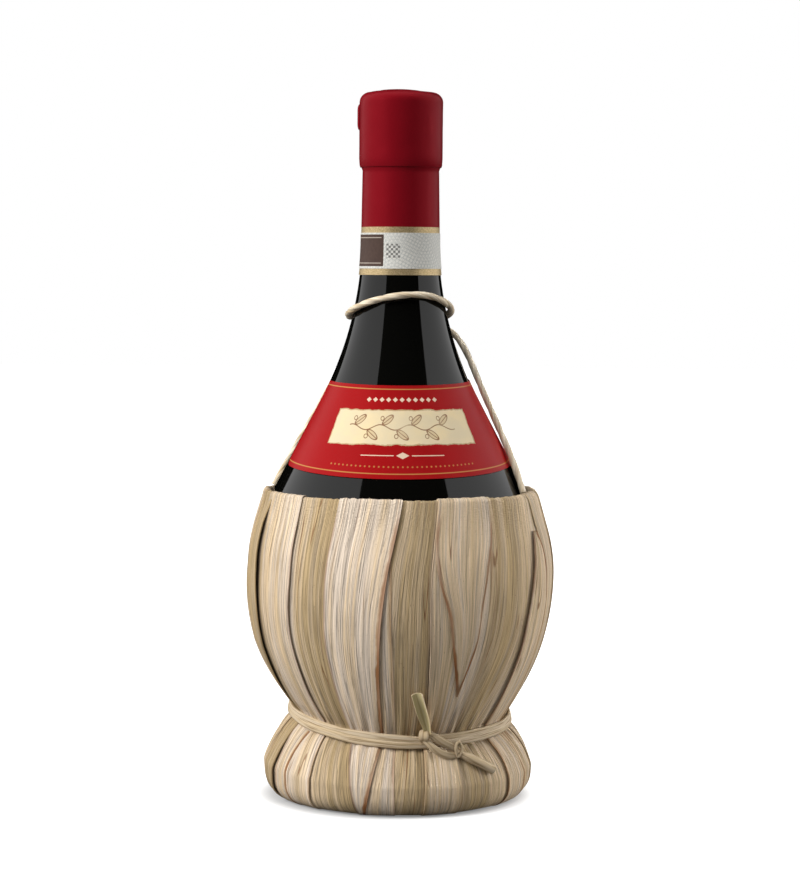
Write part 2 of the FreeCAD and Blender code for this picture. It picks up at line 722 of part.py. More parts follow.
def make_strip(number):
    """One leaf strip: odd ones lie in the inner layer, even ones over their edges."""
    label = f"leaf_{number:02d}"
    shares = [f"Sizes.strip_share_{i % len(STRIP_SHARES) + 1}" for i in range(number)]
    scale = f"360 / {HALVES} / Lines.share_sum"
    width = f"{shares[-1]} * {scale}"
    middle = f"Sizes.strips_start_angle + ({' + '.join(shares)} - {shares[-1]} / 2) * {scale}"
    inner = number % 2 == 1
    span = f"{width} + 2 * Sizes.leaf_overlap_angle" if inner else width
    strip = doc.addObject("Part::Revolution", label)
    strip.Source = inner_layer if inner else outer_layer
    strip.Axis = V(0, 0, 1)
    strip.Base = V(0, 0, 0)
    strip.Solid = True
    strip.Symmetric = True
    strip.setExpression("Angle", span)
    turn_about_z(strip, middle)
    for slit in slits:
        base = slit.Placement.Base
        away = math.degrees(math.atan2(base.y, base.x)) - value_of(middle)
        away = abs((away + 180) % 360 - 180)
        if away < value_of(span) / 2 + SLIT_MARGIN_ANGLE:
            cut = doc.addObject("Part::Cut", label + "_slit")
            cut.Base = strip
            cut.Tool = slit
            strip.Label = label + "_whole"
            cut.Label = label
            strip = cut
    return strip


strips = [make_strip(number) for number in range(1, STRIP_COUNT + 1)]

# Check every object, then write each piece.

doc.recompute()
PIECES = [
    "glass_flask",
    "cork_stopper",
    "capsule_cap",
    "capsule_top_disc",
    "capsule_tear_tab",
    "capsule_skirt",
    "seal_strip",
    "shoulder_label",
    "neck_cord",
    "rim_binding_cord",
    "straw_foot_ring",
    "waist_tie",
] + [strip.Label for strip in strips]

for item in doc.Objects:
    if "Invalid" in item.State or "Error" in item.State:
        raise RuntimeError(f"{item.Label} failed: {item.State}")

os.makedirs("parts", exist_ok=True)
for label in PIECES:
    piece = doc.getObjectsByLabel(label)[0]
    if piece.Shape.isNull() or not piece.Shape.isValid():
        raise RuntimeError(f"{label} has no valid shape")
    if len(piece.Shape.Solids) != 1:
        raise RuntimeError(f"{label} is {len(piece.Shape.Solids)} solids")
for label in PIECES:
    doc.getObjectsByLabel(label)[0].Shape.exportStep(f"parts/{label}.step")

print(f"{len(PIECES)} pieces, {value_of('Lines.mouth'):.1f} mm to the mouth")
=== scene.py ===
"""A straw-covered wine flask, dressed for rendering: laid out as an add-on and run as a script."""

import math
from dataclasses import dataclass

import bpy
import numpy as np
from bpy.props import FloatProperty, FloatVectorProperty, PointerProperty
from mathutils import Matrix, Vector, noise


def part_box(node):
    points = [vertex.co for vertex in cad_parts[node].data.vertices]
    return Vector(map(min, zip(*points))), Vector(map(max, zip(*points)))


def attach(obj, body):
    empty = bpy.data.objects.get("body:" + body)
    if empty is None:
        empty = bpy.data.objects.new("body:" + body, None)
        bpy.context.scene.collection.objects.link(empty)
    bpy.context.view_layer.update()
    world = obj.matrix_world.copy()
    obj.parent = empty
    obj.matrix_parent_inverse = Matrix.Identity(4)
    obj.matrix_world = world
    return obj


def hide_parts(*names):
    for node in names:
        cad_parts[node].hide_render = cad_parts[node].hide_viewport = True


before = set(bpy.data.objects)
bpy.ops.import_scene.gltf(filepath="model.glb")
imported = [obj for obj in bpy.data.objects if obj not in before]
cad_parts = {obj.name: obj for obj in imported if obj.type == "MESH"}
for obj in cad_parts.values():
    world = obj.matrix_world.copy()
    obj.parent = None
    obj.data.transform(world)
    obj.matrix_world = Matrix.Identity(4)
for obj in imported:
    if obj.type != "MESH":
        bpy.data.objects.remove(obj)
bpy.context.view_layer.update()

bl_info = {
    "name": "Straw-covered flask",
    "version": (1, 0, 0),
    "blender": (4, 5, 0),
    "location": "3D View > Sidebar > Flask",
    "description": "Models a wine flask in its leaf covering, with its capsule, papers, cords and tie",
    "category": "Add Mesh",
}

# Flask outline in metres and degrees, as the solids have it

BELLY_RADIUS = 0.0548
BELLY_HEIGHT = 0.08248
SHOULDER_RADIUS = 0.0579
SHOULDER_CENTRE = (BELLY_RADIUS - SHOULDER_RADIUS, BELLY_HEIGHT)
LOWER_RADIUS = 0.075
LOWER_ANGLE = 35.0
CONE_ANGLE = 27.6
FLARE_RADIUS = 0.128
NECK_FOOT = (0.0141, 0.2060)
NECK_TOP = (0.0137, 0.2300)
MOUTH_RING = (0.0150, 0.2334)
MOUTH_HEIGHT = 0.2580
LIP_ROUND = 0.0036
GLASS_WALL = 0.003
BORE_RADIUS = 0.00925
BORE_FOOT = 0.212

# Covering outline: the outer face of the outer leaves

LEAF_STACK = 0.0016
LEAF_LOWER_RADIUS = 0.0837
RIM_CENTRE = (0.0486, 0.1122)
RIM_FOLD = 0.0015
RIM_WALL_ANGLE = 16.4
FLANGE_LENGTH = 0.005
WAIST_RADIUS = 0.03983
WAIST_HEIGHT = 0.0302
FOOT_RADIUS = 0.04903
FOOT_ROUND = 0.0085
FOOT_FLARE = 0.02505
TUCK_RADIUS = 0.03653
LAYER_STEP = 0.0005

# Film and papers, in metres and degrees; an edge of the label is its height in front and its rise behind

FILM_THICKNESS = 0.00025
PAPER_THICKNESS = 0.0002
CAP_OPENING = 0.0102
SKIRT_STANDOFF = (0.00008, 0.00033)
SEAL_STANDOFF = (0.00036, 0.00052)
LABEL_STANDOFF = 0.00042
LABEL_TURNS = (-80.0, 98.0)
LABEL_FOOT = (0.1203, 0.0031)
LABEL_TOP = (0.1526, 0.0010)
LABEL_CORNER = 0.0044

# Prints, in millimetres: the height where the capsule turns gold, and the middle and radius of the seal strip

GOLD_LINE = 209.5
SEAL_MIDDLE = 200.9
SEAL_RADIUS = 14.7
LABEL_RADIUS = 38.0

# Carrying cord: its thickness and the route's points

CORD_DIAMETER = 0.0024
NECK_CORD_ROUTE = [
    (-0.0465, 0.0125, 0.1134), (-0.0396, 0.0146, 0.1260), (-0.0304, 0.0174, 0.1420),
    (-0.0220, 0.0190, 0.1570), (-0.0142, 0.0206, 0.1676), (-0.0054, 0.0216, 0.1726),
    (0.0066, 0.0200, 0.1740), (0.0154, 0.0136, 0.1758), (0.0195, 0.0026, 0.1787),
    (0.0169, -0.0088, 0.1824), (0.0093, -0.0160, 0.1852), (-0.0012, -0.0185, 0.1848),
    (-0.0110, -0.0155, 0.1825), (-0.0180, -0.0078, 0.1792), (-0.0193, 0.0032, 0.1768),
    (-0.0166, 0.0142, 0.1760), (-0.0078, 0.0236, 0.1756), (0.0052, 0.0252, 0.1744),
    (0.0180, 0.0182, 0.1724), (0.0240, 0.0114, 0.1660), (0.0305, 0.0044, 0.1500),
    (0.0373, -0.0037, 0.1346), (0.0424, -0.0110, 0.1226), (0.0452, -0.0165, 0.1134),
]

# Waist tie: the routes of its knot's strands and of its two tails
KNOT_STRANDS = {
    "wrap": {
        "route": [
            (0.0097, -0.0402, 0.0305), (0.0095, -0.0421, 0.0308), (0.0094, -0.0433, 0.0292),
            (0.0095, -0.0430, 0.0273), (0.0097, -0.0406, 0.0262),
        ],
        "width": 0.0037, "depth": 0.0007, "facing": (0.0, 0.0, 1.0),
    },
    "upper_strand": {
        "route": [
            (0.0088, -0.0419, 0.0293), (0.0113, -0.0421, 0.0296), (0.0135, -0.0419, 0.0284),
            (0.0155, -0.0415, 0.0269), (0.0185, -0.0403, 0.0253), (0.0210, -0.0387, 0.0238),
            (0.0225, -0.0371, 0.0224),
        ],
        "width": 0.0031, "depth": 0.0012, "facing": None,
    },
    "lower_strand": {
        "route": [
            (0.0094, -0.0419, 0.0277), (0.0113, -0.0422, 0.0261), (0.0129, -0.0422, 0.0245),
            (0.0147, -0.0418, 0.0232), (0.0171, -0.0410, 0.0220), (0.0192, -0.0400, 0.0214),
            (0.0214, -0.0387, 0.0215), (0.0227, -0.0373, 0.0222),
        ],
        "width": 0.0030, "depth": 0.0011, "facing": None,
    },
    "eye": {
        "route": [
            (0.0216, -0.0395, 0.0210), (0.0208, -0.0405, 0.0234), (0.0210, -0.0401, 0.0256),
            (0.0221, -0.0385, 0.0266), (0.0232, -0.0385, 0.0245), (0.0231, -0.0395, 0.0224),
            (0.0217, -0.0396, 0.0208),
        ],
        "width": 0.0012, "depth": 0.0009, "facing": None,
    },
}
UPPER_TAIL_ROUTE = [
    (0.0111, -0.0417, 0.0288), (0.0108, -0.0426, 0.0307), (0.0102, -0.0438, 0.0333),
    (0.0091, -0.0459, 0.0368), (0.0080, -0.0479, 0.0407), (0.0069, -0.0497, 0.0448),
]
LOWER_TAIL_ROUTE = [
    (0.0210, -0.0377, 0.0224), (0.0232, -0.0383, 0.0215), (0.0264, -0.0375, 0.0200),
    (0.0301, -0.0365, 0.0181), (0.0346, -0.0346, 0.0154),
]


# Settings that a user would change


def seen(red, green, blue):
    """A colour given as a screen shows it, as the linear values that shaders take."""
    return tuple(
        level / 255 / 12.92 if level <= 10 else ((level / 255 + 0.055) / 1.055) ** 2.4
        for level in (red, green, blue)
    )


def length(name, description, default):
    return FloatProperty(name=name, description=description, default=default, unit="LENGTH", precision=5)


def turned(name, description, degrees):
    return FloatProperty(name=name, description=description, default=math.radians(degrees), subtype="ANGLE")


def colour(name, description, default):
    return FloatVectorProperty(
        name=name, description=description, default=default, subtype="COLOR", min=0.0, max=1.0
    )


def factor(name, description, default):
    return FloatProperty(name=name, description=description, default=default, min=0.0, subtype="FACTOR")


def power(name, description, default):
    return FloatProperty(name=name, description=description, default=default, unit="POWER")


class StageSettings(bpy.types.PropertyGroup):
    distance: length("Camera distance", "Distance of the camera from the flask's axis", 0.95)
    height: length("Camera height", "Height of the camera above the floor", 0.1955)
    side: length("Camera side", "How far the camera stands to the right of the axis", -0.0001)
    tilt: turned("Camera tilt", "How far the camera looks down", 3.9)
    roll: turned("Camera roll", "How far the camera leans to the left", 0.38)
    lens: FloatProperty(name="Lens", description="Focal length", default=105.3, subtype="DISTANCE_CAMERA")
    key: power("Key light", "Power of the left softbox", 37.0)
    fill: power("Fill light", "Power of the right strip light", 0.6)
    top: power("Top light", "Power of the overhead softbox", 4.0)
    ambient: factor("Ambient", "Brightness of the room as diffuse surfaces see it", 0.46)


class FlaskSettings(bpy.types.PropertyGroup):
    glass: colour("Glass", "Colour of the very dark glass", (0.0022, 0.0022, 0.0018))
    cork: colour("Cork", "Colour of the cork", seen(190, 150, 105))
    film: colour("Capsule red", "Colour of the capsule's film", seen(128, 13, 25))
    gold: colour("Gold", "Colour of the capsule's gold foot", seen(226, 202, 157))
    film_wave: length("Film wave", "Depth of the waves in the shrunk film", 0.00012)


class PaperSettings(bpy.types.PropertyGroup):
    red: colour("Label red", "Colour of the label", seen(146, 10, 13))
    cream: colour("Cream", "Colour of the panel on the label", seen(212, 196, 163))
    sepia: colour("Sepia", "Colour of the drawing on the panel", seen(112, 66, 40))
    line: colour("Gold line", "Colour of the label's printed lines", seen(178, 122, 66))
    seal: colour("Seal paper", "Colour of the seal strip", seen(212, 210, 203))
    block: colour("Seal block", "Colour of the seal strip's printed block", seen(66, 50, 44))


class LeafSettings(bpy.types.PropertyGroup):
    thickness: length("Leaf thickness", "Thickness of a leaf strip", 0.0004)
    flatness: factor("Flatness", "How flat a strip is across its width", 0.35)
    wave: length("Wave", "Depth of the waves along the covering", 0.0003)
    ridge: length("Ridges", "Height of the ridges along a strip", 0.0002)
    pleat: length("Pleats", "Depth of the pleats at the waist", 0.0005)
    lift: length("Edge lift", "How far a strip's edges stand up", 0.00035)
    pale: colour("Pale leaf", "Colour of the palest strips", seen(222, 205, 186))
    tan: colour("Tan leaf", "Colour of the middling strips", seen(205, 182, 150))
    olive: colour("Olive leaf", "Colour of the darkest strips", seen(172, 149, 112))
    brown: colour("Brown edge", "Colour of the curled edges", seen(146, 97, 57))


class CordSettings(bpy.types.PropertyGroup):
    width: length("Cord width", "Width of the carrying cord", 0.0029)
    depth: length("Cord depth", "Thickness of the carrying cord", CORD_DIAMETER)
    lay: length("Cord lay", "Length of one twist of the carrying cord", 0.021)
    ply_width: length("Ply width", "Width of one turn of the waist tie", 0.0027)
    ply_depth: length("Ply depth", "Thickness of one turn of the waist tie", 0.0013)
    tie_rise: length("Tie rise", "How far the tie lies above the waist's middle", 0.0010)
    front_drop: length("Tie front drop", "How far the tie hangs lower in front", 0.0046)
    side_drop: length("Tie side drop", "How far the tie hangs lower at the right", 0.00175)
    cord: colour("Cord", "Colour of the carrying cord", seen(232, 219, 196))
    leaf: colour("Tie leaf", "Colour of the tie's twisted leaf", seen(202, 184, 157))
    inside: colour("Leaf inside", "Colour of the inside of the folded tail", seen(196, 186, 136))


# Modelling helpers


def clear_selection():
    """Object mode with nothing selected."""
    if bpy.context.object and bpy.context.object.mode != "OBJECT":
        bpy.ops.object.mode_set(mode="OBJECT")
    bpy.ops.object.select_all(action="DESELECT")


def choose(piece):
    """Makes one piece the selected and active one."""
    clear_selection()
    piece.select_set(True)
    bpy.context.view_layer.objects.active = piece


def named(piece, name):
    piece.name = name
    piece.data.name = name
    return piece


def place(radius, turn, height):
    """The point at a radius and height, turned in degrees to the right of the front."""
    around = math.radians(turn)
    return Vector((radius * math.sin(around), -radius * math.cos(around), height))


def arc(centre, radius, start, stop, count):
    """Points (radius, height) on an arc between two angles in degrees."""
    turns = np.radians(np.linspace(start, stop, count))
    return [(centre[0] + radius * c, centre[1] + radius * s) for c, s in zip(np.cos(turns), np.sin(turns))]


def spun(name, outline, steps=144):
    """A body of revolution: the outline is extruded point by point and spun about the axis."""
    clear_selection()
    bpy.ops.mesh.primitive_plane_add(size=0.001)
    piece = named(bpy.context.object, name)
    bpy.ops.object.mode_set(mode="EDIT")
    bpy.ops.mesh.select_all(action="SELECT")
    bpy.ops.mesh.merge(type="CENTER")
    bpy.ops.transform.translate(value=(outline[0][0], 0, outline[0][1]))
    for before, after in zip(outline, outline[1:]):
        step = (after[0] - before[0], 0, after[1] - before[1])
        bpy.ops.mesh.extrude_region_move(TRANSFORM_OT_translate={"value": step})
    bpy.ops.mesh.select_all(action="SELECT")
    bpy.ops.mesh.spin(steps=steps, angle=math.tau, center=(0, 0, 0), axis=(0, 0, 1))
    bpy.ops.mesh.select_all(action="SELECT")
    bpy.ops.mesh.remove_doubles(threshold=1e-6)
    bpy.ops.mesh.normals_make_consistent(inside=False)
    bpy.ops.object.mode_set(mode="OBJECT")
    return piece


def shaped_grid(name, columns, rows, shape):
    """A grid whose points go to shape(across, up), both running from 0 to 1."""
    clear_selection()
    bpy.ops.mesh.primitive_grid_add(x_subdivisions=columns, y_subdivisions=rows, size=1)
    piece = named(bpy.context.object, name)
    for corner in piece.data.vertices:
        corner.co = shape(corner.co.x + 0.5, corner.co.y + 0.5)
    return piece


def modified(piece, kind, **settings):
    """Adds a modifier to a piece and applies it."""
    choose(piece)
    modifier = piece.modifiers.new(kind.title(), kind)
    for key, value in settings.items():
        setattr(modifier, key, value)
    bpy.ops.object.modifier_apply(modifier=modifier.name)


def set_uv(piece, places):
    """Gives each vertex its place (u, v) on the piece's UV map."""
    mesh = piece.data
    layer = mesh.uv_layers.active or mesh.uv_layers.new(name="UVMap")
    owners = np.empty(len(mesh.loops), dtype=np.int32)
    mesh.loops.foreach_get("vertex_index", owners)
    layer.uv.foreach_set("vector", np.asarray(places, dtype=np.float32)[owners].ravel())


def set_attribute(piece, name, values):
    """Gives each vertex a number under a name that the materials read."""
    found = piece.data.attributes.new(name, "FLOAT", "POINT")
    found.data.foreach_set("value", np.asarray(values, dtype=np.float32))


def finished(piece, material, body="flask", nodes=(), smooth=40.0):
    """Smooths a piece, gives it its finish and lets it ride on its body."""
    choose(piece)
    bpy.ops.object.shade_smooth_by_angle(angle=math.radians(smooth))
    piece.data.materials.clear()
    piece.data.materials.append(material)
    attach(piece, body)
    if nodes:
        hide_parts(*nodes)
    return piece


def smooth_line(points):
    """Points read from the smooth spline that has the given points as its control points."""
    curve = bpy.data.curves.new("route", "CURVE")
    curve.dimensions = "3D"
    spline = curve.splines.new("NURBS")
    spline.points.add(len(points) - 1)
    for knot, point in zip(spline.points, points):
        knot.co = (*point, 1.0)
    spline.order_u = 3
    spline.use_endpoint_u = True
    holder = bpy.data.objects.new("route", curve)
    line = bpy.data.meshes.new_from_object(holder)
    found = np.array([corner.co[:] for corner in line.vertices])
    bpy.data.objects.remove(holder)
    bpy.data.curves.remove(curve)
    bpy.data.meshes.remove(line)
    return found


def spaced(line, step):
    """Points at even steps along a line."""
    runs = np.linalg.norm(np.diff(line, axis=0), axis=1)
    along = np.concatenate([[0.0], np.cumsum(runs)])
    even = np.linspace(0.0, along[-1], max(int(along[-1] / step), 4))
    return np.stack([np.interp(even, along, line[:, i]) for i in range(3)], 1), even


def swept(name, line, step, sides, section, facing=None, lay=0.0, shade=None):
    """A closed tube along a line. section(turn, along, total) gives its offsets (out, aside)."""
    points, along = spaced(np.asarray(line), step)
    tangents = np.gradient(points, axis=0)
    tangents /= np.linalg.norm(tangents, axis=1)[:, None]
    outward = Vector(facing or (points[0][0], points[0][1], 0.0))
    corners, fibres = [], []
    for point, tangent, reach in zip(points, tangents, along):
        ahead = Vector(tangent)
        outward = (outward - ahead * outward.dot(ahead)).normalized()
        aside = ahead.cross(outward)
        twist = math.tau * reach / lay if lay else 0.0
        for k in range(sides):
            turn = math.tau * k / sides
            out, over = section(turn, reach, along[-1])
            corners.append(Vector(point) + outward * out + aside * over)
            fold = turn - twist
            fibres.append((1000 * reach, math.cos(fold), math.sin(fold), shade(turn) if shade else 0.0))
    rings = len(points)
    faces = [
        (i * sides + k, i * sides + (k + 1) % sides, (i + 1) * sides + (k + 1) % sides, (i + 1) * sides + k)
        for i in range(rings - 1)
        for k in range(sides)
    ]
    faces.append(tuple(range(sides))[::-1])
    faces.append(tuple(range((rings - 1) * sides, rings * sides)))
    mesh = bpy.data.meshes.new(name)
    mesh.from_pydata([tuple(c) for c in corners], [], faces)
    piece = bpy.data.objects.new(name, mesh)
    bpy.context.scene.collection.objects.link(piece)
    for name_of, values in zip(("along", "fibre_x", "fibre_y", "shade"), zip(*fibres)):
        set_attribute(piece, name_of, values)
    choose(piece)
    bpy.ops.object.mode_set(mode="EDIT")
    bpy.ops.mesh.select_all(action="SELECT")
    bpy.ops.mesh.normals_make_consistent(inside=False)
    bpy.ops.object.mode_set(mode="OBJECT")
    return piece


# Materials


class Value:
    """A shader socket that takes part in arithmetic."""

    def __init__(self, nodes, socket):
        self.nodes = nodes
        self.socket = socket

    def beside(self, output):
        """Another output of the same node."""
        return Value(self.nodes, self.socket.node.outputs[output])

    def maths(self, operation, *others, first=None):
        terms = [self, *others] if first is None else [first, self]
        return self.nodes.node("ShaderNodeMath", {"operation": operation}, dict(enumerate(terms)))

    def __add__(self, other):
        return self.maths("ADD", other)

    def __sub__(self, other):
        return self.maths("SUBTRACT", other)

    def __rsub__(self, other):
        return self.maths("SUBTRACT", first=other)

    def __mul__(self, other):
        return self.maths("MULTIPLY", other)

    __radd__ = __add__
    __rmul__ = __mul__

    def __truediv__(self, other):
        return self.maths("DIVIDE", other)

    def __neg__(self):
        return self.maths("MULTIPLY", -1.0)

    def __abs__(self):
        return self.maths("ABSOLUTE")

    def __lt__(self, other):
        return self.maths("LESS_THAN", other)

    def __gt__(self, other):
        return self.maths("GREATER_THAN", other)

    def __mod__(self, other):
        return self.maths("FLOORED_MODULO", other)

    def either(self, other):
        """The larger of two values: where one mask or the other is."""
        return self.maths("MAXIMUM", other)


class Nodes:
    """A node tree that values are worked out in."""

    def __init__(self, tree):
        self.tree = tree

    def node(self, kind, settings=None, inputs=None, output=0):
        made = self.tree.nodes.new(kind)
        for key, value in (settings or {}).items():
            setattr(made, key, value)
        for key, value in (inputs or {}).items():
            self.feed(made.inputs[key], value)
        return Value(self, made.outputs[output])

    def feed(self, socket, value):
        if isinstance(value, Value):
            self.tree.links.new(value.socket, socket)
        elif socket.type == "RGBA" and hasattr(value, "__len__"):
            socket.default_value = (*value, 1.0)
        else:
            socket.default_value = value


class Finish(Nodes):
    """One material and the nodes that its surface is worked out from."""

    def __init__(self, name):
        self.material = bpy.data.materials.new(name)
        self.material.use_nodes = True
        super().__init__(self.material.node_tree)
        self.surface = self.tree.nodes["Principled BSDF"]

    def set(self, **sockets):
        """Feeds the shader's own sockets, such as Base_Color or Roughness."""
        for key, value in sockets.items():
            self.feed(self.surface.inputs[key.replace("_", " ")], value)
        return self.material

    def object_place(self):
        return self.node("ShaderNodeTexCoord", output="Object")

    def parts(self, vector):
        x = self.node("ShaderNodeSeparateXYZ", inputs={0: vector}, output="X")
        return x, x.beside("Y"), x.beside("Z")

    def joined(self, x, y, z=0.0):
        return self.node("ShaderNodeCombineXYZ", inputs={0: x, 1: y, 2: z})

    def attribute(self, name):
        return self.node("ShaderNodeAttribute", {"attribute_name": name}, output="Fac")

    def noise(self, vector, scale, detail=3.0, rough=0.55):
        return self.node(
            "ShaderNodeTexNoise",
            inputs={"Vector": vector, "Scale": scale, "Detail": detail, "Roughness": rough},
        )

    def ramp(self, value, low, high):
        """0 where the value is low or less, 1 where it is high or more, smooth between."""
        return self.node(
            "ShaderNodeMapRange",
            {"interpolation_type": "SMOOTHSTEP"},
            {"Value": value, "From Min": low, "From Max": high},
        )

    def mix(self, share, first, second, blend="MIX"):
        return self.node(
            "ShaderNodeMix",
            {"data_type": "RGBA", "blend_type": blend},
            {0: share, 6: first, 7: second},
            output=2,
        )

    def bump(self, height, strength, distance):
        return self.node(
            "ShaderNodeBump", inputs={"Height": height, "Strength": strength, "Distance": distance}
        )

    def turn_and_height(self):
        """Turn to the right of the front in radians, and height in millimetres."""
        x, y, z = self.parts(self.object_place())
        return x.maths("ARCTAN2", -y), z * 1000.0


def glass_finish(sizes):
    f = Finish("very_dark_glass")
    place_on = f.object_place()
    cast = f.noise(place_on, 34.0, 2.0)
    return f.set(
        Base_Color=sizes.glass,
        Roughness=f.ramp(cast, 0.2, 0.9) * 0.03 + 0.035,
        IOR=1.5,
        Normal=f.bump(cast, 0.12, 0.0006),
    )


def cork_finish(sizes):
    f = Finish("cork_bark")
    place_on = f.object_place()
    grain = f.noise(place_on, 420.0, 4.0)
    pores = f.ramp(f.noise(place_on, 900.0, 2.0), 0.62, 0.72)
    warm = f.mix(f.ramp(grain, 0.3, 0.75), sizes.cork, seen(150, 105, 62))
    return f.set(
        Base_Color=f.mix(pores, warm, seen(92, 58, 34)),
        Roughness=0.85,
        Normal=f.bump(grain - pores, 0.35, 0.0004),
    )


def film_finish(sizes):
    """Red shrunk film, with a gold foot below the printed line."""
    f = Finish("capsule_film")
    place_on = f.object_place()
    height = f.turn_and_height()[1]
    gold = f.ramp(height, GOLD_LINE, GOLD_LINE - 0.15)
    cloud = f.noise(place_on, 90.0, 3.0)
    fine = f.noise(place_on, 2600.0, 2.0)
    red = f.mix(f.ramp(cloud, 0.25, 0.8) * 0.35, sizes.film, seen(120, 10, 22))
    brushed = f.mix(f.ramp(fine, 0.3, 0.7), sizes.gold, seen(184, 160, 116))
    return f.set(
        Base_Color=f.mix(gold, red, brushed),
        Metallic=0.24 + 0.4 * gold,
        Roughness=0.36 + 0.06 * cloud,
        Specular_IOR_Level=0.08,
        Normal=f.bump(cloud + 0.05 * fine, 0.12, 0.0008),
    )


def seal_finish(sizes):
    """Grey-white paper with fine ruled arcs and one plain printed block."""
    f = Finish("seal_paper")
    turn, height = f.turn_and_height()
    along = turn * SEAL_RADIUS
    ruling = None
    for centre, level in ((-2.0, 190.0), (9.5, 213.0), (21.0, 192.0), (-15.0, 212.0)):
        away_x, away_y = along - centre, height - level
        reach = (away_x * away_x + away_y * away_y).maths("SQRT")
        wave = (reach * 5.2).maths("SINE")
        ruling = wave if ruling is None else ruling.either(wave)
    lines = f.ramp(ruling, 0.9, 1.0)
    grain = f.noise(f.object_place(), 900.0, 3.0)
    paper = f.mix(f.ramp(grain, 0.3, 0.7) * 0.3, sizes.seal, seen(196, 192, 182))
    ruled = f.mix(lines * 0.55, paper, seen(120, 130, 132))
    middle = abs(height - SEAL_MIDDLE)
    inside = (middle < 5.75) * (turn < -0.425) * (turn > -1.75)
    ruled_line = (middle < 4.75) * (middle > 4.45) * (turn < -0.49) * (turn > -1.68)
    wash = f.mix(f.ramp(grain, 0.2, 0.8) * 0.35, sizes.block, seen(88, 70, 60))
    rule_mark = f.mix(ruled_line * 0.7, wash, seen(196, 184, 170))
    squares = ((along * 1.15 + 40.0) % 2.0 < 1.0).maths("SUBTRACT", ((height * 1.15) % 2.0 < 1.0))
    dots = abs(squares) * (abs(along + 2.7) < 2.6) * (abs(height - 200.7) < 2.6)
    checked = f.mix(dots * 0.75, ruled, seen(74, 70, 68))
    return f.set(
        Base_Color=f.mix(inside, checked, rule_mark),
        Roughness=0.62,
        Normal=f.bump(grain, 0.08, 0.0002),
    )


def label_edge(edge, cosine):
    """The height of one of the label's edges where the turn has this cosine."""
    return edge[0] + edge[1] * (1.0 - cosine)


def label_finish(sizes):
    """Coated red paper with gold lines, and a torn cream panel with a sprig drawn on it."""
    f = Finish("label_paper")
    place_on = f.object_place()
    turn, height = f.turn_and_height()
    panel_aside, panel_level, ornament_level, row_level = 1.3, 138.0, 128.3, 147.6
    x, y = turn * LABEL_RADIUS - panel_aside, height - panel_level
    grain = f.noise(place_on, 1400.0, 3.0)
    red = f.mix(f.ramp(f.noise(place_on, 30.0, 2.0), 0.3, 0.7) * 0.25, sizes.red, seen(168, 12, 18))
    low_edge, top_edge = (1000.0 * label_edge(edge, turn.maths("COSINE")) for edge in (LABEL_FOOT, LABEL_TOP))
    top_line = f.ramp(abs(height - top_edge + 1.35), 0.26, 0.1)
    low_line = f.ramp(abs(height - low_edge - 1.7), 0.26, 0.1)
    lines = top_line.either(low_line)
    tear = (f.noise(place_on, 300.0, 3.0) - 0.5) * 1.5
    aside, above = abs(x) + tear, abs(y) + tear
    panel = (aside < 30.6) * (above < 6.15)
    rim = panel * (1.0 - (aside < 30.1) * (above < 5.75))
    aged = f.noise(place_on, 130.0, 4.0)
    cream = f.mix(f.ramp(aged, 0.35, 0.75), sizes.cream, seen(222, 202, 160))
    stem_at = 0.9 * (x * 0.52).maths("SINE")
    ink = f.ramp(abs(y - stem_at), 0.26, 0.12) * (abs(x) < 22.5)
    wash = None
    for start, side in ((0.0, 1.0), (6.0, -1.0)):
        local_x = (x + start + 60.0) % 12.0 - 6.0
        local_y = y - side * 2.55
        slope_x = local_x * 0.82 + local_y * (0.57 * side)
        slope_y = local_y * 0.82 - local_x * (0.57 * side)
        blade = (slope_x * slope_x) / 6.6 + (slope_y * slope_y) / 1.3
        kept = abs(x) < 21.4
        outline = f.ramp(abs(blade - 1.0), 0.34, 0.12) * kept
        vein = f.ramp(abs(slope_y), 0.2, 0.08) * (blade < 0.9) * kept
        ink = ink.either(outline).either(vein)
        shade = (blade < 1.0) * kept
        wash = shade if wash is None else wash.either(shade)
        berry_x = (x + start + 56.4) % 12.0 - 6.0
        berry_y = y + side * 3.1
        berry = (berry_x * berry_x + berry_y * berry_y).maths("SQRT")
        ink = ink.either(f.ramp(abs(berry - 0.7), 0.22, 0.08) * (abs(x + 1.0) < 20.6))
    washed = f.mix(wash * 0.35, cream, seen(176, 146, 104))
    drawn = f.mix(ink * f.ramp(aged, 0.15, 0.5) * 0.85, washed, sizes.sepia)
    bordered = f.mix(rim * 0.6, drawn, seen(150, 112, 70))
    off_rule = abs(height - ornament_level)
    rule = (off_rule < 0.16) * (abs(x) < 15.0) * (abs(x) > 3.2)
    ornament = f.ramp(abs(x) * 0.5 + off_rule, 1.25, 1.05).either(rule)
    row_x = (x + 59.2) % 3.2 - 1.6
    row = f.ramp(abs(row_x) * 0.7 + abs(height - row_level), 0.92, 0.78) * (abs(x) < 17.5)
    pale = ornament.either(row)
    dot_x = (x + 58.4) % 1.6 - 0.8
    dot_y = height - low_edge - 4.1
    dots = f.ramp(dot_x * dot_x + dot_y * dot_y, 0.14, 0.06) * (abs(x) < 26.2)
    ground = f.mix(lines.either(dots * 0.8), red, sizes.line)
    marked = f.mix(pale * 0.85, ground, seen(226, 206, 180))
    return f.set(
        Base_Color=f.mix(panel, marked, bordered),
        Roughness=0.36 + 0.2 * panel,
        Specular_IOR_Level=0.16,
        Normal=f.bump(grain, 0.05, 0.0002),
    )


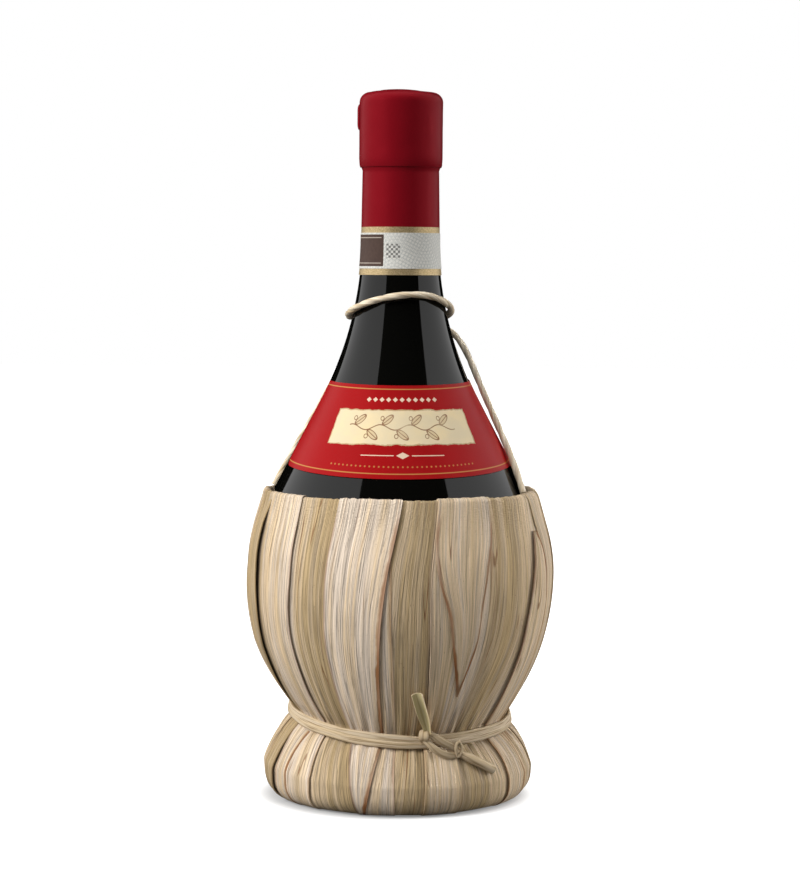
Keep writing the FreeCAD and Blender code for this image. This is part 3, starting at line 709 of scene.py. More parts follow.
def leaf_finish(sizes):
    """Dried leaf: fibres, broad streaks, grooves darkened with painted shade, specks, brown edges and the
    painted shade under a neighbour.
    """
    f = Finish("dried_leaf")
    u, v, unused = f.parts(f.node("ShaderNodeUVMap", {"uv_map": "UVMap"}))
    tone, edge, brown, dark, reach = (
        f.attribute(name) for name in ("tone", "edge", "brown", "dark", "reach")
    )
    fibre = f.noise(f.joined(u * 1.1, v * 0.02), 1.0, 3.0, 0.6)
    thread = f.noise(f.joined(u * 2.7, v * 0.05, 7.0), 1.0, 2.0, 0.6)
    streak = f.noise(f.joined(u * 0.32, v * 0.008), 1.0, 2.0)
    pore = f.noise(f.joined(u * 2.2, v * 0.6), 1.0, 2.0)
    crinkle = f.noise(f.joined(u * 0.55, v * 1.5, 2.0), 1.0, 2.0)
    contour = abs(f.noise(f.joined(u * 0.55, v * 0.009, 5.0), 1.0, 2.0) - 0.5)
    groove = f.ramp(contour, 0.026, 0.006)
    vein = f.ramp(abs(f.noise(f.joined(u * 0.16, v * 0.006, 9.0), 1.0, 1.0) - 0.46), 0.009, 0.003)
    speck = f.ramp(f.noise(f.joined(u * 1.5, v * 0.7, 4.0), 1.0, 1.0), 0.72, 0.79)
    shade = tone + (streak - 0.5) * 2.0 + (fibre - 0.5) * 0.9
    light_half = f.mix(f.ramp(shade, -0.15, 0.5), sizes.pale, sizes.tan)
    ground = f.mix(f.ramp(shade, 0.4, 1.05), light_half, sizes.olive)
    grain = 1.06 + (fibre - 0.5) * 1.2 + (thread - 0.5) * 1.3 + (streak - 0.5) * 0.7
    # The grooves are darkened in the colour as well as sunk in the bump: painted shade in them.
    fibred = f.mix(1.0, ground, grain * (1.0 - 0.24 * groove), "MULTIPLY")
    pored = f.mix(f.ramp(pore, 0.56, 0.75) * 0.22, fibred, seen(146, 118, 86))
    veined = f.mix(vein * f.ramp(streak, 0.42, 0.56) * 0.7, pored, seen(122, 80, 48))
    specked = f.mix(speck * (0.25 + 0.55 * tone), veined, seen(78, 60, 38))
    fringe = reach * (0.3 + 3.6 * f.noise(f.joined(u * 0.05, v * 0.11, 3.0), 1.0, 2.0))
    edged = f.mix(brown * f.ramp(edge, fringe, fringe * 0.45), specked, sizes.brown)
    # Painted shade: darker beside a neighbour's edge, out to the reach, where the neighbour would shade the
    # strip.
    under = 0.72 * f.ramp(edge, reach, 0.0) + 0.28 * f.ramp(edge, reach * 4.0, 0.0)
    shaded = f.mix(dark * under, edged, seen(46, 33, 21))
    height = fibre * 0.5 + thread * 0.5 - groove * 0.5 + crinkle * f.ramp(v, 30.0, 12.0) * 0.8
    return f.set(
        Base_Color=shaded,
        Roughness=0.6 + 0.12 * thread,
        Specular_IOR_Level=0.35,
        Normal=f.bump(height, 0.85, 0.0006),
    )


def twisted_finish(sizes, leaf, lines):
    """Twisted leaf of the cords: creases that run along the lay."""
    f = Finish("twisted_leaf")
    along, fibre_x, fibre_y = (f.attribute(name) for name in ("along", "fibre_x", "fibre_y"))
    crease = f.noise(f.joined(fibre_x * 1.3, fibre_y * 1.3, along * 0.035), 1.0, 3.0)
    thread = f.noise(f.joined(fibre_x * 3.6, fibre_y * 3.6, along * 0.07 + 40.0), 1.0, 2.0)
    ground = f.mix(f.ramp(crease, 0.38, 0.72), leaf, seen(196, 174, 138))
    lined = f.mix(f.ramp(thread, 0.5, 0.66) * lines, ground, seen(140, 114, 80))
    shaded = f.mix(f.attribute("shade"), lined, sizes.inside)
    return f.set(
        Base_Color=shaded,
        Roughness=0.55,
        Specular_IOR_Level=0.4,
        Normal=f.bump(crease * 0.6 + thread * 0.4, 0.55, 0.0004),
    )


def straw_finish(sizes):
    """Bound straw of the foot ring."""
    f = Finish("bound_straw")
    turn, height = f.turn_and_height()
    place_on = f.object_place()
    stalk = f.noise(f.joined(turn * 60.0, height * 0.25), 1.0, 2.0)
    patch = f.noise(place_on, 60.0, 3.0)
    ground = f.mix(f.ramp(patch, 0.3, 0.7), sizes.tan, seen(176, 146, 92))
    lined = f.mix(f.ramp(stalk, 0.45, 0.7) * 0.6, ground, seen(128, 98, 58))
    return f.set(Base_Color=lined, Roughness=0.7, Normal=f.bump(stalk, 0.6, 0.0008))


# Outlines


def flask_wall(inset):
    """The belly's wall moved in by the inset, from the axis below to the foot of the neck."""
    lower_axis = BELLY_RADIUS - LOWER_RADIUS
    drop = -lower_axis / math.cos(math.radians(LOWER_ANGLE))
    bottom = (0.0, BELLY_HEIGHT - drop * math.sin(math.radians(LOWER_ANGLE)))
    flare = (NECK_FOOT[0] + FLARE_RADIUS, NECK_FOOT[1])
    return [
        *arc(bottom, LOWER_RADIUS - drop - inset, -90.0, -LOWER_ANGLE, 24),
        *arc((lower_axis, BELLY_HEIGHT), LOWER_RADIUS - inset, -LOWER_ANGLE, 0.0, 16)[1:],
        *arc(SHOULDER_CENTRE, SHOULDER_RADIUS - inset, 0.0, CONE_ANGLE, 14)[1:],
        *arc(flare, FLARE_RADIUS + inset, 180.0 + CONE_ANGLE, 180.0, 22),
    ]


LIP_FOOT = MOUTH_HEIGHT - LIP_ROUND
LIP_STEPS = 7
FLASK_LINE = [
    *flask_wall(0.0),
    NECK_TOP,
    MOUTH_RING,
    (MOUTH_RING[0], LIP_FOOT),
    *arc((MOUTH_RING[0] - LIP_ROUND, LIP_FOOT), LIP_ROUND, 0.0, 90.0, LIP_STEPS + 1)[1:],
]


def flask_radius(height):
    """The outer radius of the glass at a height above the belly."""
    line = FLASK_LINE[:-LIP_STEPS]
    return float(np.interp(height, [z for r, z in line], [r for r, z in line]))


def sleeve(name, levels, inner, outer):
    """A thin sleeve round the glass, between two distances from it."""
    outside = [(flask_radius(level) + outer, level) for level in levels]
    inside = [(flask_radius(level) + inner, level) for level in levels[::-1]]
    return spun(name, [*outside, *inside, outside[0]], steps=128)


def leaf_line():
    """The covering's line from its flange over the rim, down the belly and under the foot."""
    cone = math.radians(CONE_ANGLE)
    fold = arc(RIM_CENTRE, RIM_FOLD, 180.0 + CONE_ANGLE, RIM_WALL_ANGLE, 16)
    flange = [
        (fold[0][0] + back * math.sin(cone), fold[0][1] - back * math.cos(cone))
        for back in np.linspace(FLANGE_LENGTH, 0.0, 5)[:-1]
    ]
    belly = BELLY_RADIUS + LEAF_STACK
    shoulder = arc(SHOULDER_CENTRE, SHOULDER_RADIUS + LEAF_STACK, RIM_WALL_ANGLE, 0.0, 18)
    wall = [
        tuple(np.array(fold[-1]) * (1 - share) + np.array(shoulder[0]) * share)
        for share in np.linspace(0.0, 1.0, 12)[1:-1]
    ]
    lower_axis = belly - LEAF_LOWER_RADIUS
    waist_turn = -math.degrees(math.acos((WAIST_RADIUS - lower_axis) / LEAF_LOWER_RADIUS))
    lower = arc((lower_axis, BELLY_HEIGHT), LEAF_LOWER_RADIUS, 0.0, waist_turn, 46)
    flare_axis = FOOT_RADIUS - FOOT_FLARE
    flare_turn = math.degrees(math.acos((WAIST_RADIUS - flare_axis) / FOOT_FLARE))
    flare = arc((flare_axis, FOOT_ROUND), FOOT_FLARE, flare_turn, 0.0, 22)
    corner = arc((FOOT_RADIUS - FOOT_ROUND, FOOT_ROUND), FOOT_ROUND, 0.0, -90.0, 14)
    seat = [(WAIST_RADIUS, height) for height in np.linspace(lower[-1][1], flare[0][1], 6)[1:-1]]
    tuck = [(radius, 0.0) for radius in np.linspace(corner[-1][0], TUCK_RADIUS, 4)[1:]]
    return np.array([*flange, *fold, *wall, *shoulder, *lower[1:], *seat, *flare, *corner[1:], *tuck])


class LeafLine:
    """The covering's line with its length, its outward direction and its outside stretch."""

    def __init__(self):
        self.points = leaf_line()
        steps = np.linalg.norm(np.diff(self.points, axis=0), axis=1)
        self.along = np.concatenate([[0.0], np.cumsum(steps)])
        tangents = np.gradient(self.points, axis=0)
        tangents /= np.linalg.norm(tangents, axis=1)[:, None]
        self.outward = np.stack([-tangents[:, 1], tangents[:, 0]], 1)
        self.top = int(np.argmax(self.points[:, 1]))
        self.foot = int(np.argmin(np.abs(self.points[:, 1]))) + 1

    def reach(self, height):
        """How far along the line its outside has come at a height."""
        outside = slice(self.top, self.foot)
        return float(np.interp(-height, -self.points[outside, 1], self.along[outside]))


def eased(stations, values, at):
    """A smooth curve through values at stations, read at one place."""
    at = min(max(at, stations[0]), stations[-1])
    i = min(int(np.searchsorted(stations, at, side="right")) - 1, len(stations) - 2)
    slopes = np.gradient(values, stations)
    width = stations[i + 1] - stations[i]
    t = (at - stations[i]) / width
    return (
        (2 * t**3 - 3 * t**2 + 1) * values[i]
        + (t**3 - 2 * t**2 + t) * width * slopes[i]
        + (3 * t**2 - 2 * t**3) * values[i + 1]
        + (t**3 - t**2) * width * slopes[i + 1]
    )


def tie_shift(turn, sizes):
    """How far the tie, and the waist under it, lies above or below its level at a turn."""
    front, right = math.cos(math.radians(turn)), math.sin(math.radians(turn))
    return sizes.tie_rise - sizes.front_drop * (0.6 * front + 0.4 * front**2) - sizes.side_drop * right


# Covering: edges of the strips in degrees to the right of the front, at six heights from rim to floor

EDGE_HEIGHTS = (0.1126, 0.0877, 0.0606, 0.0300, 0.0150, 0.0)
FRONT_EDGES = (
    (-80.0, -81.0, -82.0, -80.0, -80.0, -80.0),
    (-65.4, -65.0, -64.3, -65.0, -64.5, -64.5),
    (-43.6, -43.2, -44.5, -41.5, -39.4, -41.0),
    (-24.7, -27.0, -28.2, -24.4, -20.5, -16.8),
    (1.6, -3.8, -7.0, -8.0, -10.5, -15.4),
    (16.2, 12.0, 12.4, 13.5, 12.0, 12.0),
    (40.4, 38.5, 36.8, 30.0, 28.5, 29.0),
    (58.0, 56.5, 56.0, 53.0, 55.0, 55.0),
    (70.0, 71.5, 70.0, 68.0, 69.0, 69.0),
    (84.0, 84.5, 84.0, 83.0, 84.0, 84.0),
)
BACK_EDGES = (99.0, 112.5, 135.0, 151.0, 177.5, 193.0, 216.0, 236.0, 249.0, 264.0)
BACK_LEAN = 2.6
STRIP_COUNT = 20
UNDERLAP = 3.5
STRIP_TONES = (
    1.05, 0.30, 0.62, 0.02, 0.80, 0.42, 0.78, 0.40, 0.50, 0.50,
    0.34, 0.70, 0.22, 0.58, 0.30, 0.74, 0.44, 0.60, 0.26, 0.52,
)
# How brown a strip's left and right edges are
BROWN_EDGES = {2: (0.0, 0.3), 4: (0.7, 1.0), 8: (0.8, 0.9), 12: (0.3, 0.9), 16: (0.8, 0.3), 20: (0.4, 0.6)}
# Painted shade beside the neighbours: how dark a strip is painted beside its left and right neighbours, where
# that differs, and how far that reaches
PAINTED_SHADE_DEFAULT = 0.85
PAINTED_SHADES_BY_STRIP = {1: (0.0, 0.0), 3: (0.5, 0.6), 7: (0.7, 0.2), 9: (0.35, 0.0), 11: (0.0, 0.5), 19: (0.5, 0.0)}
UNDER_REACH = 0.5
# How far in millimetres an edge's brown or painted shade reaches, where that differs
REACHES = {3: (0.35, 1.0), 4: (0.35, 0.75), 7: (0.95, 0.5), 8: (0.4, 0.5)}
SIDE_STRIPS = (1, 9, 10, 11, 20)  # strips whose edges lie at the sides, seen edge-on
# How much darker a strip's right half is than its left
TONE_LEAN = {2: -0.1, 3: 0.34, 5: 0.1, 7: -0.26}
# The first strip lies over its right neighbour with a gap, and the second strip is painted with shadow under
# that edge as far as the open edge's reach
OPEN_EDGE_RISE = 0.0008
OPEN_EDGE_REACH = 2.3
# Relief of the strips in metres: how soon it grows below the rim, how far the waist's pleats and the tie's
# pull spread, how wide a curled edge is, and the crease round the foot as its height, width and depth
RIM_BLEND = 0.014
PLEAT_SPREAD = 0.0105
TIE_SPREAD = 0.017
CURL_WIDTH = 0.0011
FOOT_CREASE = (0.0122, 0.0024, 0.0008)
RAGGED_RIM = 0.00032

# Tongues of leaf that lie over a strip: height and turn of their left and right edges
TONGUES = {
    "leaf_05_fold": {
        "left": (
            (0.0985, -3.0), (0.0877, -7.0), (0.060, -10.5), (0.030, -11.5), (0.015, -14.0), (0.0, -19.0),
        ),
        "right": (
            (0.0985, -2.8), (0.0877, -2.6), (0.060, -2.2), (0.030, -0.9), (0.015, -1.3), (0.0, -1.0),
        ),
        "on": 5, "tone": 0.24, "brown": (0.0, 0.5), "over_rim": False,
    },
    "leaf_06_front": {
        "left": (
            (0.1126, 16.4), (0.095, 13.8), (0.082, 15.7), (0.0755, 18.0), (0.057, 22.4), (0.0440, 26.4),
        ),
        "right": (
            (0.1126, 39.2), (0.102, 38.0), (0.0885, 34.6), (0.078, 32.9), (0.0606, 31.2), (0.0440, 26.6),
        ),
        "on": 6, "tone": 0.26, "brown": (1.0, 0.9), "over_rim": True,
    },
    "leaf_02_foot": {
        "left": ((0.0275, -65.5), (0.0150, -63.5), (0.0, -63.5)),
        "right": ((0.0275, -53.0), (0.0170, -55.0), (0.0, -54.0)),
        "on": 2, "tone": 0.30, "brown": (0.5, 1.0), "over_rim": False,
    },
}
TONGUE_RISE = 0.0002
STRIP_TIP = 0.1010  # height of the one strip that comes to a point below the rim
TIP_LENGTH = 0.034
TIPPED_STRIP = 8
UNDER_TIP = (12.0, 8.5, 8.5)  # how much further the strip before it reaches under it, at the upper heights


def risen(value, low, high):
    """0 up to low, 1 from high on, smooth between."""
    t = min(max((value - low) / (high - low), 0.0), 1.0)
    return t * t * (3 - 2 * t)


def rough(*where):
    return noise.noise(Vector(where))


# How much wider than round the covering is at its right and left, by height
RIGHT_FULLNESS = (
    (0.0, 0.012, 0.022, 0.030, 0.042, 0.058, 0.086, 0.1115),
    (0.0002, 0.0005, 0.0005, 0.0009, 0.0008, 0.0010, 0.0011, 0.0012),
)
LEFT_FULLNESS = (
    (0.0, 0.0135, 0.022, 0.030, 0.036, 0.058, 0.086, 0.102, 0.1115),
    (0.0, 0.0003, -0.0011, -0.0011, -0.0002, 0.0006, -0.0005, 0.0, -0.0002),
)


def fullness(turn, height):
    """How much wider than round the covering is at one place."""
    turned = (turn + 180.0) % 360.0 - 180.0
    share = risen(abs(turned), 25.0, 75.0) * risen(abs(turned), 160.0, 115.0)
    return share * float(np.interp(height, *(RIGHT_FULLNESS if turned > 0.0 else LEFT_FULLNESS)))


@dataclass
class StripForm:
    """One strip: its edges as stations and turns, its layer, its colour and its marks, brown edges and
    painted shade.
    """

    left: tuple
    right: tuple
    rise: float
    tone: float
    seed: int
    hidden: tuple = (0.0, 0.0)
    brown: tuple = (0.0, 0.0)
    dark: tuple = (0.0, 0.0)
    reach: tuple = (UNDER_REACH, UNDER_REACH)
    lean: float = 0.0
    open_edge: float = 0.0
    smooth: bool = False
    first: float = 0.0
    last: float = 1.0
    tip: float = 0.0
    thickness: float = 0.0
    base: "StripForm" = None


class Covering:
    """Makes the leaf strips along the covering's line."""

    def __init__(self, leaf, cord):
        self.leaf = leaf
        self.cord = cord
        self.line = LeafLine()
        self.stations = [self.line.reach(height) for height in EDGE_HEIGHTS]
        self.rim = self.line.along[self.line.top]

    def edges_at(self, form, s):
        """The turns of a strip's two edges at a place along the line."""
        begin, end = eased(*form.left, s), eased(*form.right, s)
        if form.tip:
            grown = min(max((s - form.first) / form.tip, 0.0), 1.0)
            middle, half = (begin + end) / 2, (end - begin) / 2 * math.sqrt(grown)
            begin, end = middle - half, middle + half
        return begin, end

    def relief(self, form, s, turn, radius, height):
        """How far out of the covering's line a strip lies at one place."""
        leaf, seed = self.leaf, form.seed
        begin, end = self.edges_at(form, s)
        half = max(math.radians(end - begin) / 2, 1e-5)
        t = min(max((math.radians(turn - begin) - half) / half, -1.0), 1.0)
        width = 2 * half * radius
        outside = risen(s, self.rim, self.rim + RIM_BLEND)
        on_foot = risen(height, 0.0, 0.006)
        waist = math.exp(-(((height - WAIST_HEIGHT) / PLEAT_SPREAD) ** 2)) * outside
        above_floor = risen(height, 0.0, 0.009)
        flat = leaf.flatness * radius * (math.cos(half) / math.cos(half * t) - 1.0) * outside
        offset = (form.rise + flat) * (1.0 - 0.7 * outside * (1.0 - above_floor))
        offset += leaf.wave * rough(turn * 0.045, s * 30.0, 3.0) * outside * on_foot
        offset += leaf.ridge * rough(t * width / 0.0026, s * 6.0, 3.1 * seed) * (1 - t**4) * outside * on_foot
        pleats = math.sin(0.95 * turn + 2.6 * rough(turn * 0.14, 8.0, 0.0))
        offset += leaf.pleat * pleats * waist * (0.7 + 0.6 * rough(turn * 0.3, s * 60.0, 5.0))
        crease_height, crease_width, crease_depth = FOOT_CREASE
        crease = math.exp(-abs(height - crease_height) / crease_width) * outside
        offset += crease_depth * crease * (0.7 + 0.6 * rough(turn * 0.06, 1.0, 2.0))
        if form.rise < -0.0003:
            shown = min(1 + t, 1 - t) * width / 2 - math.radians(UNDERLAP) * radius
            flush = 0.35 + 0.6 * risen(height, 0.026, 0.016)
            offset += LAYER_STEP * flush * risen(shown, 0.0, 0.0026) * outside * above_floor
        offset += form.open_edge * risen(t, 0.1, 1.0) * outside * on_foot * (1 - 0.7 * waist)
        for side, share in ((0, 1 + t), (1, 1 - t)):
            if not form.hidden[side] and not form.smooth:
                curl = 0.55 + 0.9 * rough(s * 45.0, 9.0 - 6.0 * side, seed)
                near = math.exp(-share * width / 2 / CURL_WIDTH)
                offset += leaf.lift * curl * near * outside * on_foot * (1 - 0.8 * waist)
        return offset

    def marks(self, form, s, t, width, radius, height):
        """The nearer visible edge: its distance in millimetres, its brown, its painted shade and their reach.
        """
        from_edges = [
            share * width / 2 - math.radians(under) * radius
            for share, under in zip((1 + t, 1 - t), form.hidden)
        ]
        side = int(t > 0)
        below_rim = risen(s, self.rim + 0.002, self.rim + 0.016)
        fray = 0.8 + 0.7 * rough(s * 50.0, 4.0 + side, form.seed)
        brown = form.brown[side] * fray * below_rim
        dark = form.dark[side] * (0.3 + 0.7 * below_rim)
        dark *= 0.85 + 0.5 * rough(s * 34.0, 2.0 + side, form.seed)
        dark *= 0.45 + 0.55 * risen(height, 0.010, 0.030)
        reach = form.reach[side]
        if reach > 1.0:
            reach *= risen(height, 0.026, 0.05) * risen(height, 0.109, 0.1)
            reach = max(reach, UNDER_REACH)
        return 1000.0 * min(from_edges), min(max(brown, 0.0), 1.0), min(max(dark, 0.0), 1.0), reach

    def strip(self, name, form):
        """Models one strip from its form."""
        line = self.line
        rows = [i for i, s in enumerate(line.along) if form.first <= s <= form.last]
        wide = math.radians(max(r - l for l, r in zip(form.left[1], form.right[1]))) * BELLY_RADIUS
        columns = max(12, int(wide / 0.0008))
        found = []

        def shape(across, up):
            i = rows[round((1.0 - up) * (len(rows) - 1))]
            s = line.along[i]
            radius, height = line.points[i]
            out_r, out_z = line.outward[i]
            begin, end = self.edges_at(form, s)
            t = math.sin((across - 0.5) * math.pi)
            turn = (begin + end) / 2 + t * (end - begin) / 2
            turn += 0.4 * abs(t) * rough(s * 60.0, t, form.seed * 1.7)
            width = math.radians(end - begin) * radius
            if form.base:
                offset = form.rise + self.relief(form.base, s, turn, radius, height)
            else:
                offset = self.relief(form, s, turn, radius, height)
            ragged = rough(turn * 0.55, form.seed, 2.0) + 0.6 * rough(turn * 2.1, form.seed, 7.0)
            bent = math.exp(-(((height - WAIST_HEIGHT) / TIE_SPREAD) ** 2))
            bent *= risen(s, self.rim, self.rim + RIM_BLEND)
            shifted = height + out_z * offset + tie_shift(turn, self.cord) * bent
            shifted += RAGGED_RIM * ragged * math.exp(-max(s - self.rim, 0.0) / 0.012)
            band = 500.0 * wide * t
            tone = form.tone + form.lean * risen(t, -0.2, 0.5)
            tone += 0.3 * rough(band * 0.22, s * 5.0, form.seed) + 0.12 * rough(s * 22.0, t * 1.4, form.seed)
            marks = self.marks(form, s, t, width, radius, height)
            found.append((60.0 * form.seed + band, 1000.0 * s, tone, *marks))
            wider = fullness(turn, height) * risen(s, self.rim - 0.001, self.rim + 0.004)
            return place(radius + out_r * offset + wider, turn, max(shifted, 0.0))

        piece = shaped_grid(name, columns, len(rows) - 1, shape)
        u, v, *attributes = zip(*found)
        set_uv(piece, list(zip(u, v)))
        for attribute, values in zip(("tone", "edge", "brown", "dark", "reach"), attributes):
            set_attribute(piece, attribute, values)
        modified(piece, "SOLIDIFY", thickness=form.thickness, offset=-1.0, use_even_offset=True)
        return piece

    def edge(self, number):
        """One edge between strips, counted from the left of the front all the way round."""
        number, rounds = number % STRIP_COUNT, number // STRIP_COUNT
        if number < len(FRONT_EDGES):
            turns = list(FRONT_EDGES[number])
        else:
            base = BACK_EDGES[number - len(FRONT_EDGES)]
            turns = [
                base + BACK_LEAN * math.sin(2.1 * number + 0.9 * station)
                for station in range(len(EDGE_HEIGHTS))
            ]
        return [turn + 360.0 * rounds for turn in turns]

    def numbered_form(self, number):
        """Strip 1 to 20: even ones lie on top, odd ones under their neighbours' edges."""
        left, right = self.edge(number - 1), self.edge(number)
        on_top = number % 2 == 0
        hidden = [0.0, 0.0] if on_top else [UNDERLAP, UNDERLAP]
        if number == 1:
            hidden[1] = 0.0
        if number == 2:
            hidden[0] = UNDERLAP
        left = [turn - hidden[0] for turn in left]
        right = [turn + hidden[1] for turn in right]
        form = StripForm(
            (self.stations, left), (self.stations, right), 0.0 if on_top else -LAYER_STEP,
            STRIP_TONES[number - 1], number, tuple(hidden), lean=TONE_LEAN.get(number, 0.0),
            reach=REACHES.get(number, (UNDER_REACH, UNDER_REACH)), thickness=self.leaf.thickness,
        )
        if on_top:
            form.brown = BROWN_EDGES.get(number, (0.25, 0.25))
        else:
            # Odd strips are painted with shade beside their neighbours' edges.
            form.dark = PAINTED_SHADES_BY_STRIP.get(number, (PAINTED_SHADE_DEFAULT, PAINTED_SHADE_DEFAULT))
        if number in SIDE_STRIPS:
            form.smooth = True
            form.rise *= 0.45
            form.brown = (0.0, 0.0)
        if number == 1:
            form.open_edge = LAYER_STEP + OPEN_EDGE_RISE
        # The second strip is painted with shadow under the first strip's open edge.
        if number == 2:
            form.dark = (1.0, 0.0)
            form.reach = (OPEN_EDGE_REACH, UNDER_REACH)
        if number == TIPPED_STRIP:
            form.first, form.tip = self.line.reach(STRIP_TIP), TIP_LENGTH
        if number == TIPPED_STRIP - 1:
            for station, wider in enumerate(UNDER_TIP):
                right[station] += wider
        return form

    def numbered_strip(self, number):
        return self.strip(f"leaf_strip_{number:02d}", self.numbered_form(number))

    def tongue(self, name, shape, seed):
        """A tongue of leaf that lies over a strip."""
        edges = []
        for side in ("left", "right"):
            stations = [self.line.reach(height) for height, turn in shape[side]]
            edges.append((stations, [turn for height, turn in shape[side]]))
        form = StripForm(*edges, TONGUE_RISE, shape["tone"], seed, brown=shape["brown"])
        form.base, form.thickness = self.numbered_form(shape["on"]), 0.9 * TONGUE_RISE
        form.reach = (0.65, 0.5)
        if not shape["over_rim"]:
            form.first = edges[0][0][0]
        if shape["left"][-1][0] > 0.0:
            form.last = edges[0][0][-1]
        return self.strip(name, form)


# Stage: each light's setting, place, size and spread, and each card's turns at its foot and at its top

WHITE = (1.0, 1.0, 1.0)
BLACK = (0.0, 0.0, 0.0)
SOFTBOXES = {
    "key_softbox": ("key", (-1.36, -0.72, 0.95), 0.9, 180.0),
    "fill_strip": ("fill", (1.4, 0.25, 0.3), 0.5, 28.0),
    "top_softbox": ("top", (0.0, -0.3, 1.5), 1.0, 180.0),
}
LIGHTS_AIM = (0.0, 0.0, 0.07)
DARK_CARDS = {
    "front_dark_card": ((-36.0, 51.0), (-50.0, 58.0)),
    "back_dark_card": ((139.0, 222.0), (139.0, 222.0)),
}
CARD_DISTANCE = 1.7
CARD_FOOT = -0.2
CARD_HEIGHT = 3.4
FLOOR_SIZE = 8.0
FLOOR_BOUNCE = (0.14, 0.14, 0.14)
FLOOR_GREY = (0.5, 0.5, 0.5)
# Painted shadow on the floor: where its glow to the camera fades out round the foot
PAINTED_FOOT_SHADOW = (0.043, 0.0565)  # distances from the axis between which the floor's shade fades out


# Operators


class FLASK_OT_stage(bpy.types.Operator):
    """Floor, soft lights, dark cards and the camera"""

    bl_idname = "flask.stage"
    bl_label = "Stage"

    def execute(self, context):
        sizes = context.scene.flask_stage
        context.scene.view_settings.view_transform = "Standard"
        self.camera(context, sizes)
        self.world(context, sizes)
        for name, (setting, spot, size, spread) in SOFTBOXES.items():
            self.softbox(name, getattr(sizes, setting), spot, size, spread)
        self.floor()
        for name, turns in DARK_CARDS.items():
            self.dark_card(name, turns)
        return {"FINISHED"}

    def camera(self, context, sizes):
        view = bpy.data.cameras.new("camera")
        view.lens = sizes.lens
        view.sensor_width = 36.0
        holder = bpy.data.objects.new("camera", view)
        holder.location = (sizes.side, -sizes.distance, sizes.height)
        holder.rotation_euler = (math.pi / 2 - sizes.tilt, -sizes.roll, 0.0)
        context.scene.collection.objects.link(holder)
        context.scene.camera = holder

    def world(self, context, sizes):
        """White where the camera, gloss or glass look at it, grey as light on diffuse surfaces."""
        world = bpy.data.worlds.new("studio")
        context.scene.world = world
        world.use_nodes = True
        sky = Nodes(world.node_tree)
        ray = sky.node("ShaderNodeLightPath", output="Is Camera Ray")
        shown = ray.either(ray.beside("Is Glossy Ray")).either(ray.beside("Is Transmission Ray"))
        levels = {"Value": shown, "To Min": sizes.ambient, "To Max": 1.0}
        level = sky.node("ShaderNodeMapRange", inputs=levels)
        background = sky.tree.nodes["Background"]
        sky.feed(background.inputs["Color"], WHITE)
        sky.feed(background.inputs["Strength"], level)

    def softbox(self, name, energy, spot, size, spread):
        light = bpy.data.lights.new(name, "AREA")
        light.energy = energy
        light.size = size
        light.spread = math.radians(spread)
        holder = bpy.data.objects.new(name, light)
        holder.location = spot
        aim = Vector(LIGHTS_AIM) - Vector(spot)
        holder.rotation_euler = aim.to_track_quat("-Z", "Y").to_euler()
        holder.visible_glossy = False
        bpy.context.scene.collection.objects.link(holder)

    def floor(self):
        """A white floor that keeps the shadow at the foot, and has a painted shadow there: its glow fades out
        near the foot.
        """
        clear_selection()
        bpy.ops.mesh.primitive_plane_add(size=FLOOR_SIZE, location=(0, 0, 0))
        floor = named(bpy.context.object, "studio_floor")
        f = Finish("studio_floor")
        ray = f.node("ShaderNodeLightPath", output="Is Camera Ray")
        x, y, unused = f.parts(f.object_place())
        # Painted shadow: the glow is cut near the foot, round a centre 2 mm left of the axis, so the left
        # side is darker.
        spot = f.joined(x + 0.002, y)
        away = f.node("ShaderNodeVectorMath", {"operation": "LENGTH"}, {0: spot}, output="Value")
        glow = ray * (0.2 + 0.8 * f.ramp(away, *PAINTED_FOOT_SHADOW))
        f.set(
            Base_Color=f.mix(ray, FLOOR_BOUNCE, FLOOR_GREY), Roughness=1.0, Specular_IOR_Level=0.0,
            Emission_Color=f.mix(glow, BLACK, WHITE), Emission_Strength=1.0,
        )
        floor.data.materials.append(f.material)

    def dark_card(self, name, turns):
        """A black card that only reflections see, between turns at its foot and at its top."""

        def shape(across, up):
            foot, top = (left * (1 - across) + right * across for left, right in turns)
            return place(CARD_DISTANCE, foot * (1 - up) + top * up, CARD_FOOT + CARD_HEIGHT * up)

        card = shaped_grid(name, 16, 8, shape)
        f = Finish(name)
        f.set(Base_Color=BLACK, Roughness=1.0, Specular_IOR_Level=0.0)
        card.data.materials.append(f.material)
        card.visible_camera = False
        card.visible_diffuse = False
        card.visible_shadow = False
        card.visible_transmission = False


class FLASK_OT_cord(bpy.types.Operator):
    """Carrying cord from the rim, once round the neck and back to the rim"""

    bl_idname = "flask.carrying_cord"
    bl_label = "Carrying cord"

    def execute(self, context):
        sizes = context.scene.flask_cord
        line = smooth_line(NECK_CORD_ROUTE)
        half_width, half_depth = sizes.width / 2, sizes.depth / 2

        def section(turn, along, total):
            """An oval with two grooves that run along the lay."""
            fold = turn - math.tau * along / sizes.lay
            groove = 1.0 - 0.2 * math.exp(-(1.0 - abs(math.cos(fold))) / 0.1)
            swell = groove * (1.0 + 0.12 * rough(along * 55.0, 4.0, 0.0))
            return half_depth * math.cos(turn) * swell, half_width * math.sin(turn) * swell

        piece = swept("carrying_cord", line, 0.0007, 28, section, lay=sizes.lay)
        finish = twisted_finish(sizes, sizes.cord, 0.4)
        finished(piece, finish, nodes=["neck_cord"], smooth=60.0)
        return {"FINISHED"}


